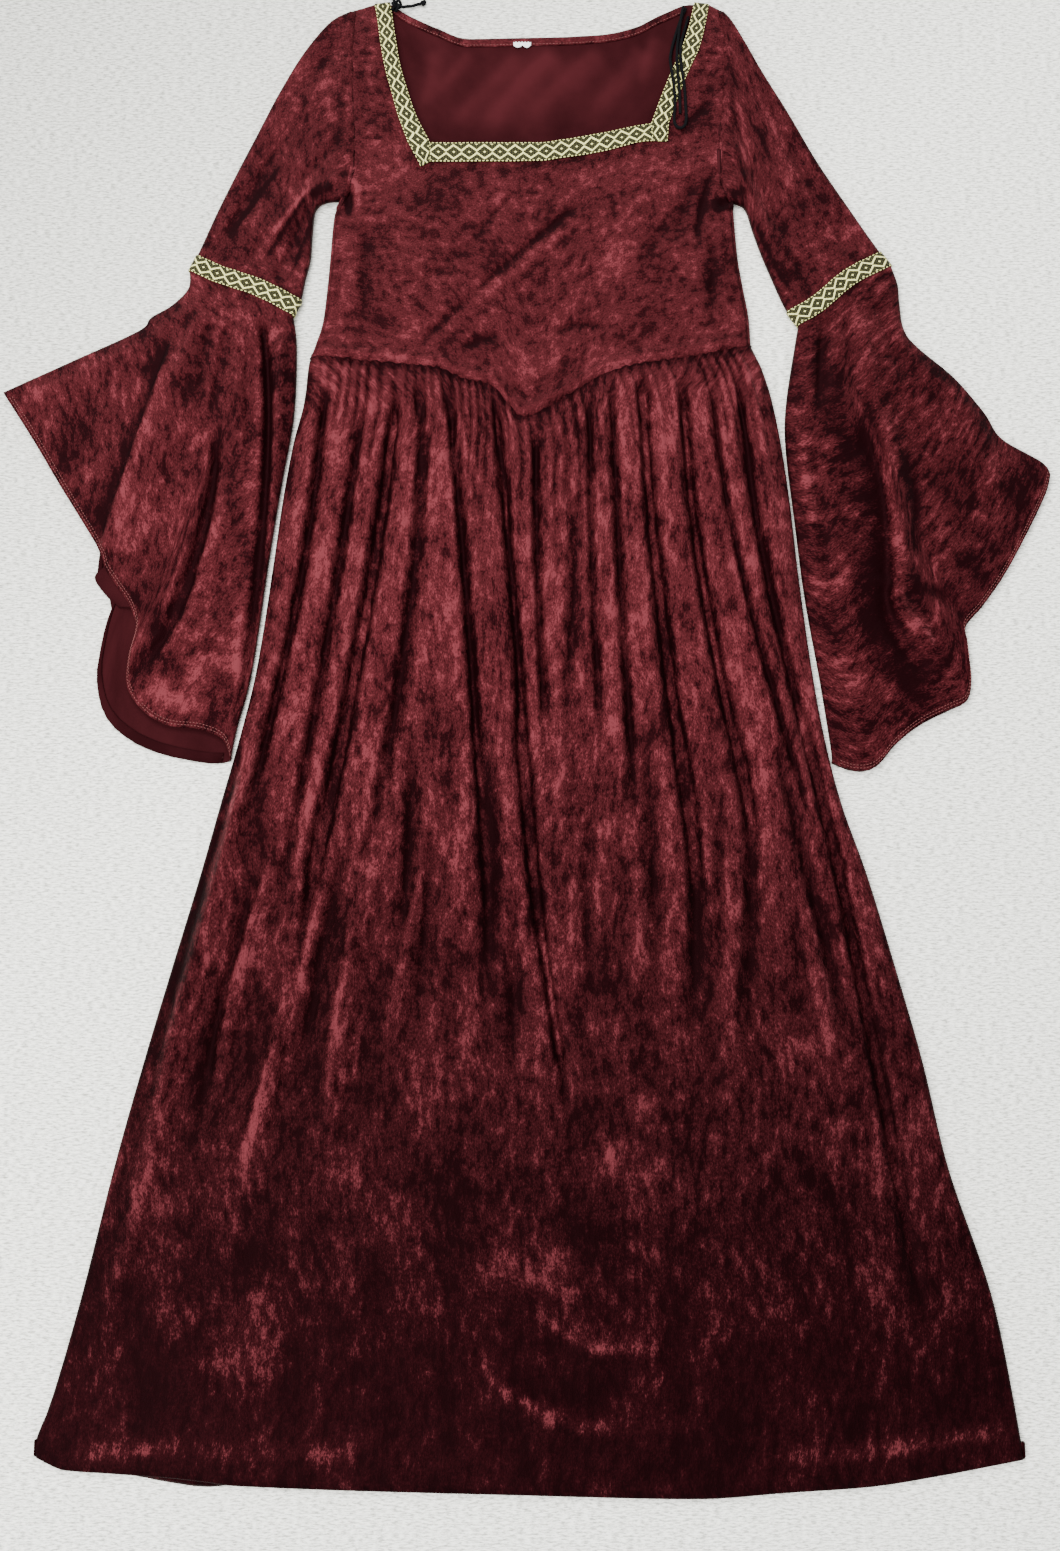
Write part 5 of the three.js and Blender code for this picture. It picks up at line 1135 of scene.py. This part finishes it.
velvet_bell = {"left": velvet("velvet_bell_left", 15, (1.0, 0.75), contrast=1.15, middle=0.46),
               "right": velvet("velvet_bell_right", 22, (0.6, 1.3), contrast=1.3, middle=0.335)}
bell_grids = {}
for side, bell in BELLS.items():
    folds = relief(bell["folds"])
    start, end = cuff_plan(side, BRAID_WIDTH / 2)(np.array([0.0, 1.0])).T
    left = outline([start, *bell["left"]])
    right = outline([end, *bell["right"]])
    cuff = lambda s, k=side: cuff_plan(k, BRAID_WIDTH / 2)(np.asarray(s, float))
    over, beneath = (patch(cuff, outline([bell["left"][-1], *hem, bell["right"][-1]]), left, right)
                     for hem in (bell["hem"], bell.get("below", bell["hem"])))
    across, under = evenly(116), evenly(40)
    rows = []
    for offset in (0.1, 1.5, 3, 4.5, 6, 7.5):
        rows.append(tube_row(cuff_plan(side, offset), across, under,
                             lambda x, y, s: CUFF_LIFT + CUFF_LEVEL + 0.4 * folds(x, y)
                             + crumple(x, y, 9, 0.3, 1), CUFF_EDGE, CUFF_LIFT))
    for t in stretches((0, 0.1, 13), (0.1, 0.96, 107), (0.96, 1, 8)):
        rows.append(tube_row(
            lambda s, t=t: over(s, t), across, under,
            lambda x, y, s, t=t: bell_level(t) + mix(0.4, 1, smooth(t / 0.08)) * folds(x, y)
            + (crumple(x, y, 30, 1.1, 7) + crumple(x, y, 10, 0.45, 3)) * (0.3 + 0.7 * smooth((1 - t) * 12)),
            bell_edge(t), CUFF_LIFT * max(0.0, 1 - t / 0.09), lambda s, t=t: beneath(s, t)))
    bell_grids[side] = np.stack(rows)
    # The bell's strokes include painted shadows under the overlapping flaps and in the folds as well as dark
    # and pale pile.
    piece = cloth(f"bell_{side}_flare", [bell_grids[side]], velvet_bell[side], inside, closed=True,
                  strokes_and_shade=relief(bell["strokes_and_shade"], BRUSH_FADES))
    upper = slice(6, 6 + len(across))
    hems = []
    for inset, where in ((2.6, 0), (5.4, 1)):
        edge = lifted(bell_grids[side], 0.15, True)[-1, upper]
        back = unit(bell_grids[side][-6, upper] - bell_grids[side][-1, upper])
        hems.append(edge + back * inset + (0, 0, 0.25))
    stitched = [sew(f"bell_{side}_stitches_{i + 1}", line, 3.2, (2.4, 0.5, 0.4), thread_red)
                for i, line in enumerate(hems)]
    if side == "left":
        lower = slice(6 + len(across) + 4, None)
        edge, inner = bell_grids[side][-1, lower], bell_grids[side][-9, lower]
        edge, inner = edge[4:-2], inner[4:-2]
        back = unit((inner - edge) * (1, 1, 0))
        band = np.stack([edge + back * inset + (0, 0, high) for inset, high in (
            (0.2, 0.7), (0.3, 1.9), (1.4, 2.9), (4.5, 3.1), (8.2, 3.0), (9.4, 2.5), (9.6, 1.9))])[:, ::-1]
        stitched.append(cloth("bell_left_turned_hem", [band], velvet_bell["left"], inside, wall=0.5,
                              tone_and_shading=lambda grid, closed: np.full(grid.shape[:2], -0.7)))
        outer, within = outline([(-416, 846), (-421, 838), (-410, 822), (-396, 809)]), outline(
            [(-410, 850), (-400, 838), (-390, 822), (-380, 808)])
        reach = np.linspace(0, 1, 22)
        point = np.stack([np.column_stack([*(outer(reach) * (1 - k) + within(reach) * k), np.full(22, high)])
                          for k, high in ((0, 1.6), (0.02, 2.6), (0.3, 3.4), (0.7, 4.4), (1, 5.4))])
        stitched.append(cloth("bell_left_point", [point], velvet_bell["left"], inside, wall=0.8,
                              tone_and_shading=lambda grid, closed: np.full(grid.shape[:2], -0.4)))
        stitched += [sew(f"bell_left_inner_stitches_{k}", band[4] + (0, 0, 0.2) + (band[3] - band[4]) * shift,
                         3.2, (2.4, 0.6, 0.5), thread_red) for k, shift in ((1, 0.1), (2, 0.85))]
    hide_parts(f"bell_{side}")

# Sleeve braid: the same ribbon, sewn round each sleeve over the seam of the bell. It is a little too
# long for the sleeve, so it waves.
for side in ("left", "right"):
    rows = [tube_row(cuff_plan(side, offset), evenly(84), evenly(40),
                     lambda x, y, s: CUFF_LIFT + CUFF_LEVEL + 0.35 * np.sin(x * 0.35 + y * 0.2)
                     + crumple(x, y, 12, 0.7, 11), CUFF_EDGE, CUFF_LIFT)
            for offset in np.linspace(-BRAID_WIDTH / 2, BRAID_WIDTH / 2, 7)]
    piece = braid(f"cuff_braid_{side}", np.stack(rows), False, closed=True, start=0.006)
    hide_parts(f"sleeve_trim_{side}")

# Label: what is left of a white woven label after it was cut off, held by the neck band's stitches.
white, shader, node = new_material("label_white", Roughness=0.75)
threads = node("TexNoise", Vector=node("TexCoord").outputs["Object"], Scale=900, Detail=2)
fill(shader, Base_Color=two_tones(node, threads, (0.62, 0.62, 0.60), (0.90, 0.90, 0.88)),
     Normal=node("Bump", Strength=0.5, Distance=0.0003, Height=threads))
wide = np.linspace(-9, 9, 37)
lobes = 4.4 + 2.6 * np.abs(np.sin((wide + 9) / 18 * 2 * np.pi)) + 0.5 * np.sin(wide * 5.1)
stub_rows = []
for k in np.linspace(0, 1, 9):
    y = 1409.2 - 1.2 * np.abs(np.sin(wide)) * (1 - k) - k * lobes
    z = 4.0 + 0.9 * k * (1 - k) + 0.35 * np.sin(wide * 0.9) * k
    stub_rows.append(np.column_stack([wide - 8, y, z]))
stub = cloth("label_end", [np.stack(stub_rows)], white, white, wall=0.4)
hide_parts("label_stub")

# Surface, light and world: a plain pale surface with a fine weave, greyed with painted shade towards its left
# corner at the shoulder end, under soft light from the shoulder side and a broad fill from the left.
bpy.ops.mesh.primitive_plane_add(size=6, location=(0, 0, -0.0004))
floor = bpy.context.object
floor.name = "floor"
pale, shader, node = new_material("pale_surface", Roughness=0.9)
place = node("TexCoord").outputs["Object"]
linen = node("TexNoise", Vector=node("Mapping", Vector=place, Scale=(0.25, 1, 1)), Scale=620, Detail=3,
             Roughness=0.7)
tone = two_tones(node, linen, (0.34, 0.335, 0.295), (1.0, 0.985, 0.89), (0.34, 0.58))
# Painted shade: the surface greys towards its left corner at the shoulder end.
split = node("SeparateXYZ", Vector=place)
corner = node("Math", {"operation": "MULTIPLY_ADD"}, _0=split.outputs["X"], _1=-1.0, _2=split.outputs["Y"])
corner_shade = node("MapRange", Value=corner, From_Min=0.2, From_Max=1.3, To_Min=1.0, To_Max=0.60)
toned = node("Mix", {"data_type": "RGBA", "blend_type": "MULTIPLY"}, Factor=1.0, _6=tone, _7=corner_shade)
fill(shader, Base_Color=toned.outputs[2], Normal=node("Bump", Strength=0.25, Distance=0.0004, Height=linen))
floor.data.materials.append(pale)
world = bpy.data.worlds.new("soft_room")
bpy.context.scene.world = world
world.use_nodes = True
world.node_tree.nodes["Background"].inputs["Color"].default_value = (0.93, 0.96, 1, 1)
world.node_tree.nodes["Background"].inputs["Strength"].default_value = 1.7
for name, place, turn, size, power in (
        ("window", (-0.7, 1.5, 2.3), (-34, -16, 0), 1.4, 95),
        ("fill", (-1.3, -1.0, 2.4), (20, -26, 0), 1.8, 115)):
    lamp = bpy.data.lights.new(name, "AREA")
    lamp.size = size
    lamp.energy = power
    lamp_object = add_object(name, lamp)
    lamp_object.location = place
    lamp_object.rotation_euler = [math.radians(x) for x in turn]
